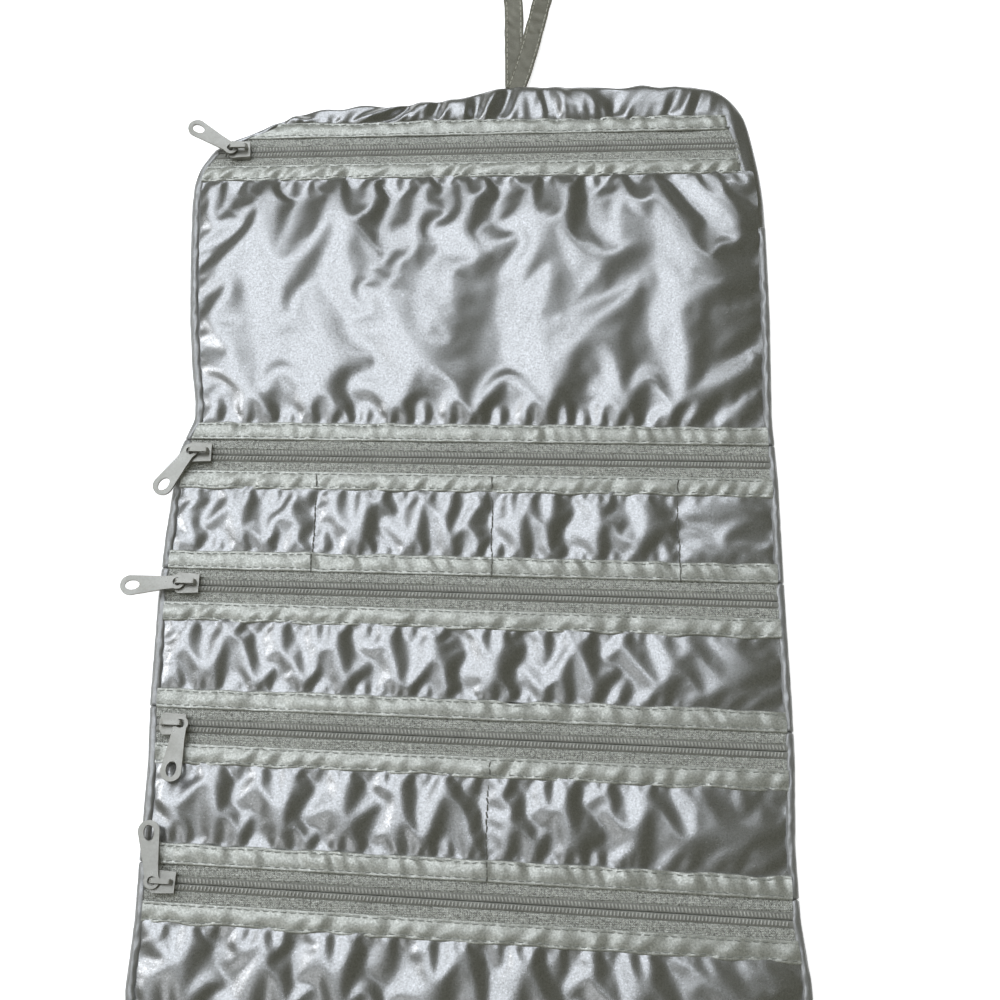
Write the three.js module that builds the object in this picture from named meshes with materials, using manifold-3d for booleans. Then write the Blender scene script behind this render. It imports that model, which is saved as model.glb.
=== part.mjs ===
// A jewelry roll lying open: a padded satin back in five panels, five zipped satin pockets, two tie ribbons.
// Millimetres, +Z up. The back lies on z = 0, +Y runs toward the end with the ties, and the sliders rest at -X.
import * as THREE from "three";
import Module from "manifold-3d";

const wasm = await Module();
wasm.setup();

// Plan sizes
const ROLL_WIDTH = 215;
const TOP_BAND = 13;
const FACING_WIDTH = 7;
const TAPE_SHOWN = 12;
const POCKET_HEIGHTS = [102.6, 23.8, 24.2, 26.4, 30];
const BOTTOM_HEM = 10;
const LEFT_CORNER = { across: 58, along: 40 };
const RIGHT_CORNER = { across: 20, along: 40 };
const BOTTOM_CORNER = { across: 12, along: BOTTOM_HEM };
const CORNER_STEPS = 8;
const BINDING_WIDTH = 3.2;
// Share by which lengths along the roll grow for each millimetre to the right of its middle line, since
// the left edge lies drawn up shorter than the right one and the zips fan out toward the right
const FAN = 0.00035;
// Places of the divider stitch lines, measured from the roll's middle line
const DIVIDERS = [[], [-57, 5, 71], [], [5], []];

// Layer sizes
const SHELL_THICKNESS = 1.8;
const BINDING_HEIGHT = 4.4;
const BAND_HEIGHT = 5.6;
const SATIN = 0.8;
const TAPE_THICKNESS = 0.6;
const TAPE_INSERT = 3;
const COIL_WIDTH = 1.7;
const COIL_HEIGHT = 1.6;
const POCKET_CROWN = 7.6;
const POCKET_EDGE_RUN = 10;
const SWELL_POWER = 1.8;
// Widest spacing of the marks on a pocket that has folds
const FOLD_MARKS = 8;
// The main folds of the gathered pockets: each is a soft ridge from one place to another
const FOLDS = [
  { pocket: 0, from: [-56, 128], to: [-74, 98], half: 11, rise: 2.4 },
  { pocket: 0, from: [-24, 128], to: [-34, 92], half: 11, rise: 2.2 },
  { pocket: 0, from: [16, 128], to: [44, 102], half: 11, rise: 2.6 },
  { pocket: 0, from: [70, 126], to: [86, 96], half: 11, rise: 2.2 },
  { pocket: 0, from: [-34, 76], to: [-10, 54], half: 11, rise: 2 },
  { pocket: 0, from: [40, 78], to: [58, 54], half: 11, rise: 2 },
  { pocket: 1, from: [-90, 3], to: [-72, -2], half: 7, rise: 1.2 },
  { pocket: 1, from: [-44, 3], to: [-12, -2], half: 7, rise: 1.2 },
  { pocket: 1, from: [18, 3], to: [56, -2], half: 7, rise: 1.2 },
];

// Clearances
const LAYER_GAP = 0.3;
const RUN_GAP = 0.4;
const FOLD_GAP = 0.3;
const FACING_FOLD_GAP = 1.2;
const BINDING_FOLD_GAP = 1.6;

// Slider and pull sizes
const SLIDER_LENGTH = 8.6;
const SLIDER_NOSE_WIDTH = 7.4;
const SLIDER_TAIL_WIDTH = 6.6;
const PLATE_THICKNESS = 0.8;
const FLANGE_WIDTH = 0.7;
const POST_WIDTH = 0.4;
const POST_LENGTH = 2.4;
const POST_SETBACK = 1;
const BAIL_LEG = 1.2;
const BAIL_WIDTH = 1.6;
const BAIL_SPAN = 4.6;
const BAIL_BEAM = 1;
const PULL_REACH = 19.2;
const PULL_NECK_WIDTH = 4.8;
const PULL_TIP_WIDTH = 7;
const PULL_THICKNESS = 1;
const PULL_EYE_WALL = 1.2;
const PULL_HOLE = { along: 2.5, across: 1.7 };
const PULL_HOLE_EDGE = 1.6;
// Middle of each slider, measured in from the roll's left edge
const SLIDER_FROM_EDGE = [14, 9, 8.5, 8, 9];
// Swing of each pull from straight left, in degrees, positive toward the bottom of the roll
const PULL_SWING = [-35, 57, 6, 85, -79];
// The bail leg that each pull rings: -1 at the slider's nose, 1 at its tail
const PULL_LEG = [-1, -1, -1, 1, -1];

// Tie ribbons: points along the middle of each, from the point of the top edge where both are sewn in
const TIE_WIDTH = 7.5;
const TIE_THICKNESS = 0.7;
const TIE_STEPS = 56;
const TIE_FOOT_X = 12;
const KNOT_SIZE = 10;
const KNOT_NARROWED = 0.8;
const KNOT_FLATTENED = 0.6;
const TIE_ROUTES = {
  tie_left: [
    [0, 0.7, 2.3], [-0.4, 12, 1.5], [-0.6, 26, 0.6], [-1, 44, 0.4], [-3, 62, 0.4], [-8, 78, 0.4],
    [-18, 92, 0.4], [-32, 100, 0.4], [-48, 100, 0.4], [-62, 93, 0.4], [-70, 81, 0.4], [-78, 69, 0.4],
    [-92, 62, 0.4], [-108, 63, 0.4], [-119, 72, 0.4], [-124, 86, 0.4], [-122, 101, 0.4], [-112, 113, 0.4],
    [-98, 120, 0.9], [-82, 123, 2.7],
  ],
  tie_right: [
    [0, 1.2, 3.7], [2.6, 10, 3.2], [5.6, 22, 2.4], [8.2, 34, 1.6], [10.6, 46, 0.6], [14, 63, 0.4],
    [20, 79, 0.4], [31, 92, 0.4], [46, 99, 0.4], [62, 97, 0.4], [74, 88, 0.4], [81, 75, 0.4], [91, 64, 0.4],
    [106, 60, 0.4], [120, 66, 0.4], [128, 79, 0.4], [127, 95, 0.4], [118, 108, 0.4], [104, 116, 0.9],
    [88, 120, 2.7],
  ],
};

// Levels that follow from the layers
const pocketFoot = SHELL_THICKNESS + LAYER_GAP;
const sliderFoot = SHELL_THICKNESS + RUN_GAP;
const tapeFoot = sliderFoot + PLATE_THICKNESS + RUN_GAP;
const tapeTop = tapeFoot + TAPE_THICKNESS;
const coilTop = tapeTop + COIL_HEIGHT;
const plateFoot = coilTop + RUN_GAP;
const plateTop = plateFoot + PLATE_THICKNESS;
const pullFoot = plateTop + RUN_GAP;
const beamFoot = pullFoot + PULL_THICKNESS + RUN_GAP;
const facingFoot = tapeFoot - LAYER_GAP - SATIN;
const facingTop = tapeTop + LAYER_GAP + SATIN;

// Plan places that follow from the plan sizes
const zipHeight = 2 * FACING_WIDTH + TAPE_SHOWN;
const pocketSum = POCKET_HEIGHTS.reduce((sum, height) => sum + height, 0);
const rollLength = TOP_BAND + POCKET_HEIGHTS.length * zipHeight + pocketSum + BOTTOM_HEM;
const topY = rollLength / 2;
const panels = [];
let nextTop = topY - TOP_BAND;
for (const pocketHeight of POCKET_HEIGHTS) {
  const zipTop = nextTop;
  const pocketTop = zipTop - zipHeight;
  nextTop = pocketTop - pocketHeight;
  panels.push({ zipTop, chainY: (zipTop + pocketTop) / 2, pocketTop, pocketEnd: nextTop });
}
const hemTop = panels[4].pocketEnd;
const slitHalf = POST_WIDTH / 2 + LAYER_GAP;
const chainHalf = slitHalf + COIL_WIDTH;
const innerInset = BINDING_WIDTH + LAYER_GAP;

const satin = { color: 0xb9b9b4, roughness: 0.38, metalness: 0.1 };
const binding = { color: 0xa9a9a2, roughness: 0.42, metalness: 0.1 };
const facing = { color: 0xc0c4be, roughness: 0.45, metalness: 0.05 };
const tape = { color: 0xa3a298, roughness: 0.8, metalness: 0 };
const metal = { color: 0xb0b0ac, roughness: 0.4, metalness: 0.6 };
const ribbon = { color: 0x86857a, roughness: 0.45, metalness: 0.05 };

const roll = new THREE.Group();
roll.name = "jewelry_roll";

// Height along the roll, once fanned, of a place that lies at x and y before.
const fanned = (x, y) => y * (1 + FAN * x);
// How far a line across the roll at height y is turned by the fan.
const leaning = (y) => Math.atan(FAN * y);

function addPart(name, geometry, look) {
  const mesh = new THREE.Mesh(geometry, new THREE.MeshStandardMaterial(look));
  mesh.name = name;
  roll.add(mesh);
}

function addCloth(name, geometry, look) {
  const place = geometry.attributes.position;
  for (let k = 0; k < place.count; k += 1) {
    place.setY(k, fanned(place.getX(k), place.getY(k)));
  }
  geometry.computeVertexNormals();
  addPart(name, geometry, look);
}

// A flat outline in X and Y, raised from one level to another.
function prism(outline, low, high) {
  const drawn = () => new THREE.Shape(outline.map(([x, y]) => new THREE.Vector2(x, y)));
  const shape = outline instanceof THREE.Shape ? outline : drawn();
  const body = new THREE.ExtrudeGeometry(shape, { depth: high - low, bevelEnabled: false, curveSegments: 8 });
  return body.translate(0, 0, low);
}

// A cross-section in Y and Z, run across the roll and cut off inside the binding at both sides.
function bar(section) {
  const shape = new THREE.Shape(section.map(([y, z]) => new THREE.Vector2(y, z)));
  const body = new THREE.ExtrudeGeometry(shape, { depth: 1, bevelEnabled: false });
  const turn = new THREE.Matrix4().makeBasis(
    new THREE.Vector3(0, 1, 0), new THREE.Vector3(0, 0, 1), new THREE.Vector3(1, 0, 0),
  );
  body.applyMatrix4(turn);
  const place = body.attributes.position;
  for (let k = 0; k < place.count; k += 1) {
    place.setX(k, sideX(place.getX(k) > 0.5 ? 1 : -1, place.getY(k), innerInset));
  }
  return body;
}

function box(x0, x1, y0, y1, z0, z1) {
  const body = new THREE.BoxGeometry(x1 - x0, y1 - y0, z1 - z0);
  return body.translate((x0 + x1) / 2, (y0 + y1) / 2, (z0 + z1) / 2);
}

function solidOf(geometry) {
  const position = geometry.attributes.position;
  const inOrder = () => Uint32Array.from({ length: position.count }, (_, i) => i);
  const index = geometry.index ? geometry.index.array : inOrder();
  const mesh = new wasm.Mesh({
    numProp: 3,
    vertProperties: Float32Array.from(position.array),
    triVerts: Uint32Array.from(index),
  });
  mesh.merge();
  return new wasm.Manifold(mesh);
}

function joined(...geometries) {
  const mesh = wasm.Manifold.union(geometries.map(solidOf)).getMesh();
  const geometry = new THREE.BufferGeometry();
  geometry.setAttribute("position", new THREE.BufferAttribute(mesh.vertProperties, 3));
  geometry.setIndex(new THREE.BufferAttribute(mesh.triVerts, 1));
  geometry.computeVertexNormals();
  return geometry;
}

// Where the roll's side lies at height y, kept inset from the outer edge.
function sideX(side, y, inset) {
  const top = side < 0 ? LEFT_CORNER : RIGHT_CORNER;
  const corner = y > 0 ? top : BOTTOM_CORNER;
  const past = Math.max(0, Math.abs(y) - (topY - corner.along));
  const rise = Math.min(1, past / (corner.along - inset));
  const drawnIn = (corner.across - inset) * (1 - Math.sqrt(1 - rise * rise));
  return side * (ROLL_WIDTH / 2 - inset - drawnIn);
}

// The roll's side from one height up to another, with points only where it is curved.
function sideRun(side, low, high, inset) {
  const corners = [[side < 0 ? LEFT_CORNER : RIGHT_CORNER, 1], [BOTTOM_CORNER, -1]];
  const heights = [low, high];
  for (const [corner, end] of corners) {
    for (let step = 0; step <= CORNER_STEPS; step += 1) {
      const rise = Math.sin((step / CORNER_STEPS) * (Math.PI / 2));
      heights.push(end * (topY - corner.along + (corner.along - inset) * rise));
    }
  }
  const inside = [...new Set(heights)].filter((y) => y >= low && y <= high);
  return inside.sort((a, b) => a - b).map((y) => [sideX(side, y, inset), y]);
}

function across(low, high, inset) {
  return [...sideRun(1, low, high, inset), ...sideRun(-1, low, high, inset).reverse()];
}

// The padded back of each panel, and the binding that closes its long edges
panels.forEach((panel, i) => {
  const high = i === 0 ? panel.zipTop - LAYER_GAP : panel.zipTop - FOLD_GAP;
  const low = i === 4 ? hemTop + LAYER_GAP : panel.pocketEnd + FOLD_GAP;
  addCloth(`back_panel_${i + 1}`, prism(across(low, high, innerInset), 0, SHELL_THICKNESS), satin);
  const bindHigh = i === 0 ? panel.zipTop - LAYER_GAP : panel.zipTop - BINDING_FOLD_GAP;
  const bindLow = i === 4 ? hemTop + LAYER_GAP : panel.pocketEnd + BINDING_FOLD_GAP;
  for (const [side, word] of [[-1, "left"], [1, "right"]]) {
    const outer = sideRun(side, bindLow, bindHigh, 0);
    const inner = sideRun(side, bindLow, bindHigh, BINDING_WIDTH).reverse();
    const outline = side > 0 ? [...outer, ...inner] : [...outer, ...inner].reverse();
    addCloth(`edge_binding_${i + 1}_${word}`, prism(outline, 0, BINDING_HEIGHT), binding);
  }
});

// The gathered band at the top end and the hem at the bottom end
function endBand(low, high) {
  return prism(across(low, high, 0), 0, BAND_HEIGHT);
}
addCloth("top_band", endBand(panels[0].zipTop, topY), satin);
addCloth("bottom_hem", endBand(-topY, hemTop), satin);

// Height of a pocket's underside above its foot: flat on top, drawn down to its seams and dividers.
function swell(distance, run) {
  const u = Math.min(1, Math.max(0, distance / run));
  return 1 - (1 - u) ** SWELL_POWER;
}

// Marks from one seam to the next, closer together where the sheet rises from a seam.
function marks(from, to, spacing) {
  const run = Math.min(POCKET_EDGE_RUN, (to - from) / 2);
  const rising = [0, 0.2, 0.45, 1].map((share) => share * run);
  const up = rising.map((d) => from + d);
  const down = rising.map((d) => to - d).reverse();
  const level = to - from - 2 * run;
  const steps = Math.max(2, Math.ceil(level / spacing));
  const between = Array.from({ length: steps - 1 }, (_, k) => from + run + (level * (k + 1)) / steps);
  return [...new Set([...up, ...between, ...down])];
}

// How far a pocket's folds lift it at a place.
function foldRise(i, x, y) {
  const place = new THREE.Vector3(x, y, 0);
  let lift = 0;
  for (const fold of FOLDS.filter(({ pocket }) => pocket === i)) {
    const ridge = new THREE.Line3(new THREE.Vector3(...fold.from, 0), new THREE.Vector3(...fold.to, 0));
    const away = ridge.closestPointToPoint(place, true, new THREE.Vector3()).distanceTo(place);
    lift += (fold.rise / 2) * (1 + Math.cos(Math.PI * Math.min(1, away / fold.half)));
  }
  return lift;
}

function pocket(i) {
  const { pocketTop, pocketEnd } = panels[i];
  const half = ROLL_WIDTH / 2 - innerInset;
  const seams = [-half, ...DIVIDERS[i], half];
  const spacing = FOLDS.some(({ pocket: at }) => at === i) ? FOLD_MARKS : ROLL_WIDTH;
  const xs = seams.slice(1).flatMap((to, k) => marks(seams[k], to, spacing).slice(k ? 1 : 0));
  const ys = marks(pocketEnd + FOLD_GAP, pocketTop - LAYER_GAP, spacing);
  const rise = POCKET_CROWN - SATIN - pocketFoot;
  const mouth = facingFoot - pocketFoot;
  const under = xs.map((x) => ys.map((y) => {
    const fromSeam = Math.min(...seams.map((s) => Math.abs(x - s)));
    const room = Math.min(swell(y - ys[0], POCKET_EDGE_RUN), swell(pocketTop - y, POCKET_EDGE_RUN));
    const lip = mouth * (1 - swell(pocketTop - y, POCKET_EDGE_RUN));
    return pocketFoot + lip + rise * room * swell(fromSeam, POCKET_EDGE_RUN) + foldRise(i, x, y);
  }));
  return sheet(xs, ys, under, SATIN);
}

// A closed sheet over a grid of marks, given the height of its underside.
function sheet(xs, ys, under, thickness) {
  const points = [];
  for (const lift of [0, thickness]) {
    xs.forEach((x, a) => ys.forEach((y, b) => points.push(x, y, under[a][b] + lift)));
  }
  const rows = ys.length;
  const top = xs.length * rows;
  const at = (a, b, layer) => layer * top + a * rows + b;
  const faces = [];
  const quad = (p, q, r, s) => faces.push(p, q, r, p, r, s);
  for (let a = 0; a + 1 < xs.length; a += 1) {
    for (let b = 0; b + 1 < rows; b += 1) {
      quad(at(a, b, 1), at(a + 1, b, 1), at(a + 1, b + 1, 1), at(a, b + 1, 1));
      quad(at(a, b + 1, 0), at(a + 1, b + 1, 0), at(a + 1, b, 0), at(a, b, 0));
    }
    quad(at(a, 0, 0), at(a + 1, 0, 0), at(a + 1, 0, 1), at(a, 0, 1));
    quad(at(a + 1, rows - 1, 0), at(a, rows - 1, 0), at(a, rows - 1, 1), at(a + 1, rows - 1, 1));
  }
  for (let b = 0; b + 1 < rows; b += 1) {
    const last = xs.length - 1;
    quad(at(0, b + 1, 0), at(0, b, 0), at(0, b, 1), at(0, b + 1, 1));
    quad(at(last, b, 0), at(last, b + 1, 0), at(last, b + 1, 1), at(last, b, 1));
  }
  const geometry = new THREE.BufferGeometry();
  geometry.setAttribute("position", new THREE.Float32BufferAttribute(points, 3));
  geometry.setIndex(faces);
  geometry.computeVertexNormals();
  return geometry;
}

panels.forEach((panel, i) => addCloth(`pocket_${i + 1}`, pocket(i), satin));

// A facing folds over the tape's edge, so its section is a C that is open toward the chain.
function facingSection(chainY, way, foot, edgeGap) {
  const lip = TAPE_SHOWN / 2;
  const outer = lip + FACING_WIDTH - edgeGap;
  const slotEnd = lip + TAPE_INSERT + LAYER_GAP;
  const low = tapeFoot - LAYER_GAP;
  const high = tapeTop + LAYER_GAP;
  const section = [
    [lip, foot], [outer, foot], [outer, facingTop], [lip, facingTop],
    [lip, high], [slotEnd, high], [slotEnd, low], [lip, low],
  ];
  const placed = section.map(([y, z]) => [chainY + way * y, z]);
  return way > 0 ? placed : placed.reverse();
}

// Half of a zip: the tape with its row of coil on top.
function stringerSection(chainY, way) {
  const slope = COIL_HEIGHT / 4;
  const section = [
    [slitHalf, tapeFoot], [TAPE_SHOWN / 2 + TAPE_INSERT, tapeFoot], [TAPE_SHOWN / 2 + TAPE_INSERT, tapeTop],
    [chainHalf, tapeTop], [chainHalf - slope, coilTop], [slitHalf + slope, coilTop], [slitHalf, tapeTop],
  ];
  const placed = section.map(([y, z]) => [chainY + way * y, z]);
  return way > 0 ? placed : placed.reverse();
}

panels.forEach(({ chainY }, i) => {
  for (const [way, word] of [[1, "upper"], [-1, "lower"]]) {
    const foot = way > 0 ? pocketFoot : facingFoot;
    const edgeGap = way > 0 && i > 0 ? FACING_FOLD_GAP : LAYER_GAP;
    const section = facingSection(chainY, way, foot, edgeGap);
    addCloth(`zip_${i + 1}_facing_${word}`, bar(section), facing);
    addCloth(`zip_${i + 1}_stringer_${word}`, bar(stringerSection(chainY, way)), tape);
  }
});

// The slider's plates are wide at the nose, which points left, and narrower at the tail.
function plateOutline() {
  const nose = SLIDER_NOSE_WIDTH / 2;
  const tail = SLIDER_TAIL_WIDTH / 2;
  const end = SLIDER_LENGTH / 2;
  const shape = new THREE.Shape();
  shape.moveTo(end, -tail);
  shape.lineTo(end, tail);
  shape.lineTo(-end + nose / 2, nose);
  shape.absellipse(-end + nose / 2, 0, nose / 2, nose, Math.PI / 2, (3 * Math.PI) / 2, false);
  return shape;
}

function bail() {
  const outer = BAIL_SPAN / 2 + BAIL_LEG;
  const shape = new THREE.Shape();
  shape.moveTo(-outer, plateTop - PLATE_THICKNESS / 2);
  shape.lineTo(outer, plateTop - PLATE_THICKNESS / 2);
  shape.lineTo(outer, beamFoot);
  shape.quadraticCurveTo(outer, beamFoot + BAIL_BEAM, outer - BAIL_LEG, beamFoot + BAIL_BEAM);
  shape.lineTo(-outer + BAIL_LEG, beamFoot + BAIL_BEAM);
  shape.quadraticCurveTo(-outer, beamFoot + BAIL_BEAM, -outer, beamFoot);
  const gap = new THREE.Path();
  gap.moveTo(-BAIL_SPAN / 2, plateTop);
  gap.lineTo(-BAIL_SPAN / 2, beamFoot);
  gap.lineTo(BAIL_SPAN / 2, beamFoot);
  gap.lineTo(BAIL_SPAN / 2, plateTop);
  shape.holes.push(gap);
  const body = new THREE.ExtrudeGeometry(shape, { depth: BAIL_WIDTH, bevelEnabled: false, curveSegments: 4 });
  return body.rotateX(Math.PI / 2).translate(0, BAIL_WIDTH / 2, 0);
}

function slider() {
  const end = SLIDER_LENGTH / 2;
  const flangeInner = chainHalf + RUN_GAP;
  const flangeFoot = tapeTop + RUN_GAP;
  const postX = -end + POST_SETBACK;
  const flange = (way) => box(
    -end + SLIDER_NOSE_WIDTH / 4, end, way > 0 ? flangeInner : -flangeInner - FLANGE_WIDTH,
    way > 0 ? flangeInner + FLANGE_WIDTH : -flangeInner, flangeFoot, plateTop - PLATE_THICKNESS / 2,
  );
  return joined(
    prism(plateOutline(), plateFoot, plateTop),
    prism(plateOutline(), sliderFoot, sliderFoot + PLATE_THICKNESS),
    box(postX, postX + POST_LENGTH, -POST_WIDTH / 2, POST_WIDTH / 2, sliderFoot, plateTop),
    flange(1),
    flange(-1),
    bail(),
  );
}

// A pull rings one leg of the slider's bail and ends in a hole; drawn pointing along +X from the leg.
function pull() {
  const eye = Math.hypot(BAIL_LEG, BAIL_WIDTH) / 2 + RUN_GAP;
  const ring = eye + PULL_EYE_WALL;
  const tip = PULL_TIP_WIDTH / 2;
  const shape = new THREE.Shape();
  shape.absarc(0, 0, ring, Math.PI / 3, (5 * Math.PI) / 3, false);
  shape.lineTo(ring + PULL_NECK_WIDTH / 2, -PULL_NECK_WIDTH / 2);
  shape.lineTo(PULL_REACH - tip, -tip);
  shape.absarc(PULL_REACH - tip, 0, tip, -Math.PI / 2, Math.PI / 2, false);
  shape.lineTo(ring + PULL_NECK_WIDTH / 2, PULL_NECK_WIDTH / 2);
  const eyeHole = new THREE.Path();
  eyeHole.absarc(0, 0, eye, 0, 2 * Math.PI, true);
  const tipHole = new THREE.Path();
  const holeX = PULL_REACH - PULL_HOLE_EDGE - PULL_HOLE.along;
  tipHole.absellipse(holeX, 0, PULL_HOLE.along, PULL_HOLE.across, 0, 2 * Math.PI, true);
  shape.holes.push(eyeHole, tipHole);
  return prism(shape, pullFoot, pullFoot + PULL_THICKNESS);
}

panels.forEach(({ chainY }, i) => {
  const x = SLIDER_FROM_EDGE[i] - ROLL_WIDTH / 2;
  const lean = leaning(chainY);
  addPart(`zip_${i + 1}_slider`, slider().rotateZ(lean).translate(x, fanned(x, chainY), 0), metal);
  const legX = x + PULL_LEG[i] * ((BAIL_SPAN + BAIL_LEG) / 2) * Math.cos(lean);
  const turn = Math.PI + lean + THREE.MathUtils.degToRad(PULL_SWING[i]);
  addPart(`zip_${i + 1}_pull`, pull().rotateZ(turn).translate(legX, fanned(legX, chainY), 0), metal);
});

// A tie is a flat section carried along its route, kept level across; both leave one point and end in a knot.
function tie(route) {
  const path = new THREE.CatmullRomCurve3(route.map((p) => new THREE.Vector3(...p)));
  const w = TIE_WIDTH / 2;
  const t = TIE_THICKNESS / 2;
  const e = TIE_THICKNESS / 4;
  const section = [[-w, -e], [-w + t, -t], [w - t, -t], [w, -e], [w, e], [w - t, t], [-w + t, t], [-w, e]];
  const points = [];
  for (let step = 0; step <= TIE_STEPS; step += 1) {
    const centre = path.getPointAt(step / TIE_STEPS);
    const along = path.getTangentAt(step / TIE_STEPS);
    const aside = new THREE.Vector3(along.y, -along.x, 0).normalize();
    const upward = aside.clone().cross(along);
    for (const [a, b] of section) {
      points.push(centre.clone().addScaledVector(aside, a).addScaledVector(upward, b));
    }
  }
  const n = section.length;
  const faces = [];
  for (let step = 0; step < TIE_STEPS; step += 1) {
    for (let k = 0; k < n; k += 1) {
      const a = step * n + k;
      const b = step * n + ((k + 1) % n);
      faces.push(a, a + n, b, b, a + n, b + n);
    }
  }
  for (let k = 1; k + 1 < n; k += 1) {
    const last = TIE_STEPS * n;
    faces.push(0, k, k + 1, last, last + k + 1, last + k);
  }
  const geometry = new THREE.BufferGeometry().setFromPoints(points);
  geometry.setIndex(faces);
  geometry.computeVertexNormals();
  return geometry;
}

const tieFootY = fanned(TIE_FOOT_X + TIE_WIDTH / 2, topY);
for (const [name, offsets] of Object.entries(TIE_ROUTES)) {
  const route = offsets.map(([x, y, z]) => [TIE_FOOT_X + x, tieFootY + y, z]);
  addPart(name, tie(route), ribbon);
  const end = new THREE.Vector3(...route[route.length - 1]);
  const before = new THREE.Vector3(...route[route.length - 2]);
  const way = end.clone().sub(before).normalize();
  const half = KNOT_SIZE / 2;
  const knot = new THREE.SphereGeometry(half, 12, 8).scale(1, KNOT_NARROWED, KNOT_FLATTENED);
  const centre = end.addScaledVector(way.setZ(0).normalize(), half + LAYER_GAP);
  knot.rotateZ(Math.atan2(way.y, way.x)).translate(centre.x, centre.y, KNOT_FLATTENED * half);
  addPart(`${name}_knot`, knot, ribbon);
}

export default roll;
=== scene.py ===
# %% [markdown]
# # A satin jewelry roll
# A travel roll for jewelry lies open with its zipped pockets up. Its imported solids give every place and
# size; this lesson dresses them. The soft pieces are worked out as grids of points with numpy, and each
# one is handed to the body that it moves with.

import math

import bpy
import numpy as np
from mathutils import Matrix, Vector


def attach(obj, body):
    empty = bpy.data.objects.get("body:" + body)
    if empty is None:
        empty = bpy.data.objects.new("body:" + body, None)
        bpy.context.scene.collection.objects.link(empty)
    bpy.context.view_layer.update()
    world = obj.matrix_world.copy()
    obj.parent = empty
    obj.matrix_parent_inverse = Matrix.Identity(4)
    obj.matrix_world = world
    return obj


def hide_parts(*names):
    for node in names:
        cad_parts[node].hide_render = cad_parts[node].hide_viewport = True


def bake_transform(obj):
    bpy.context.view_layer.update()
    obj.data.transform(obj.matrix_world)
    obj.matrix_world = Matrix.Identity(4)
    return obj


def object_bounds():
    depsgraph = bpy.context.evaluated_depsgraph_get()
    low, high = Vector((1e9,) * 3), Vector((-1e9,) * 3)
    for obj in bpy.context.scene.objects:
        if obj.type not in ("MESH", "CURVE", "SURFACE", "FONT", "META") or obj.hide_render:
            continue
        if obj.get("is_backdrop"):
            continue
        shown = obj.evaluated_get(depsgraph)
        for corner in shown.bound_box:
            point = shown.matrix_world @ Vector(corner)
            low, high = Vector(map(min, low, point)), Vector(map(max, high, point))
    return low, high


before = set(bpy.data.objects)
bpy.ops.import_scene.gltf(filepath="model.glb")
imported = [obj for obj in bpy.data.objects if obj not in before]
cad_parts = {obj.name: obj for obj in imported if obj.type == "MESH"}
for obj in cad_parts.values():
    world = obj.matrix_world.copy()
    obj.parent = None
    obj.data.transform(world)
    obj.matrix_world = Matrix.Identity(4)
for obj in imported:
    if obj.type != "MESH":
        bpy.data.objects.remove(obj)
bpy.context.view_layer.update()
scene = bpy.context.scene
scene.view_settings.view_transform = "Standard"
MM = 0.001

# %% [markdown]
# ## The camera
# The photograph looks down on the roll at about 70 degrees. A camera is placed by three directions: where
# it looks, its right and its up. They come from a yaw, an elevation and a small roll, fitted to the
# roll's edges and zips, so they are written here as numbers.

# %% Camera
CAMERA_PLACE = np.array([-5.0, -163.4, 485.1])
CAMERA_YAW, CAMERA_ELEVATION, CAMERA_ROLL = np.radians([4.25, 70.14, 5.21])
FOCAL_PIXELS = 1450
FRAME_PIXELS = 1000
SENSOR_WIDTH = 36
NEAREST_SEEN = 0.01


def unit(vectors):
    """Vectors brought to length one."""
    return vectors / np.linalg.norm(vectors, axis=-1, keepdims=True)


def camera_axes(yaw, elevation, roll):
    """The camera's right, up and looking directions, each of length one."""
    looking = np.array([
        np.sin(yaw) * np.cos(elevation),
        np.cos(yaw) * np.cos(elevation),
        -np.sin(elevation),
    ])
    right = unit(np.cross(looking, [0, 0, 1]))
    up = np.cross(right, looking)
    turned_right = np.cos(roll) * right + np.sin(roll) * up
    turned_up = np.cos(roll) * up - np.sin(roll) * right
    return turned_right, turned_up, looking


right, up, looking = camera_axes(CAMERA_YAW, CAMERA_ELEVATION, CAMERA_ROLL)
camera_data = bpy.data.cameras.new("photo_camera")
camera_data.sensor_width = SENSOR_WIDTH
camera_data.lens = SENSOR_WIDTH * FOCAL_PIXELS / FRAME_PIXELS
camera_data.clip_start = NEAREST_SEEN
camera = bpy.data.objects.new("photo_camera", camera_data)
scene.collection.objects.link(camera)
pose = Matrix.Identity(4)
for row in range(3):
    pose[row] = (right[row], up[row], -looking[row], CAMERA_PLACE[row] * MM)
camera.matrix_world = pose
scene.camera = camera
print("lens:", round(camera_data.lens, 1), "mm")

# %% [markdown]
# ## From a grid of points to a piece
# Nearly every soft piece here is a sheet: two numbers say where a point is on the cloth, and a formula
# gives its place in space. One helper turns such a grid into a mesh, and another repeats a small shape,
# for stitches and zip teeth. All places are in millimetres until the mesh is filled.
#
# The left edge of the roll lies drawn up a little shorter than the right one, so its rows fan out. The
# sizes below are those of a square roll, and every sewn piece is fanned as its mesh is filled.

# %% Mesh helpers
FAN = 0.00035


def as_points(x, y, z):
    """Points from their coordinates, where one that doesn't change may be given once."""
    return np.stack(np.broadcast_arrays(x, y, z), axis=-1)


def fanned(points):
    """Places on the roll with heights along it grown toward the right, in proportion to x."""
    spread = np.array(points, float)
    spread[..., 1] *= 1 + FAN * spread[..., 0]
    return spread


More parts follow.
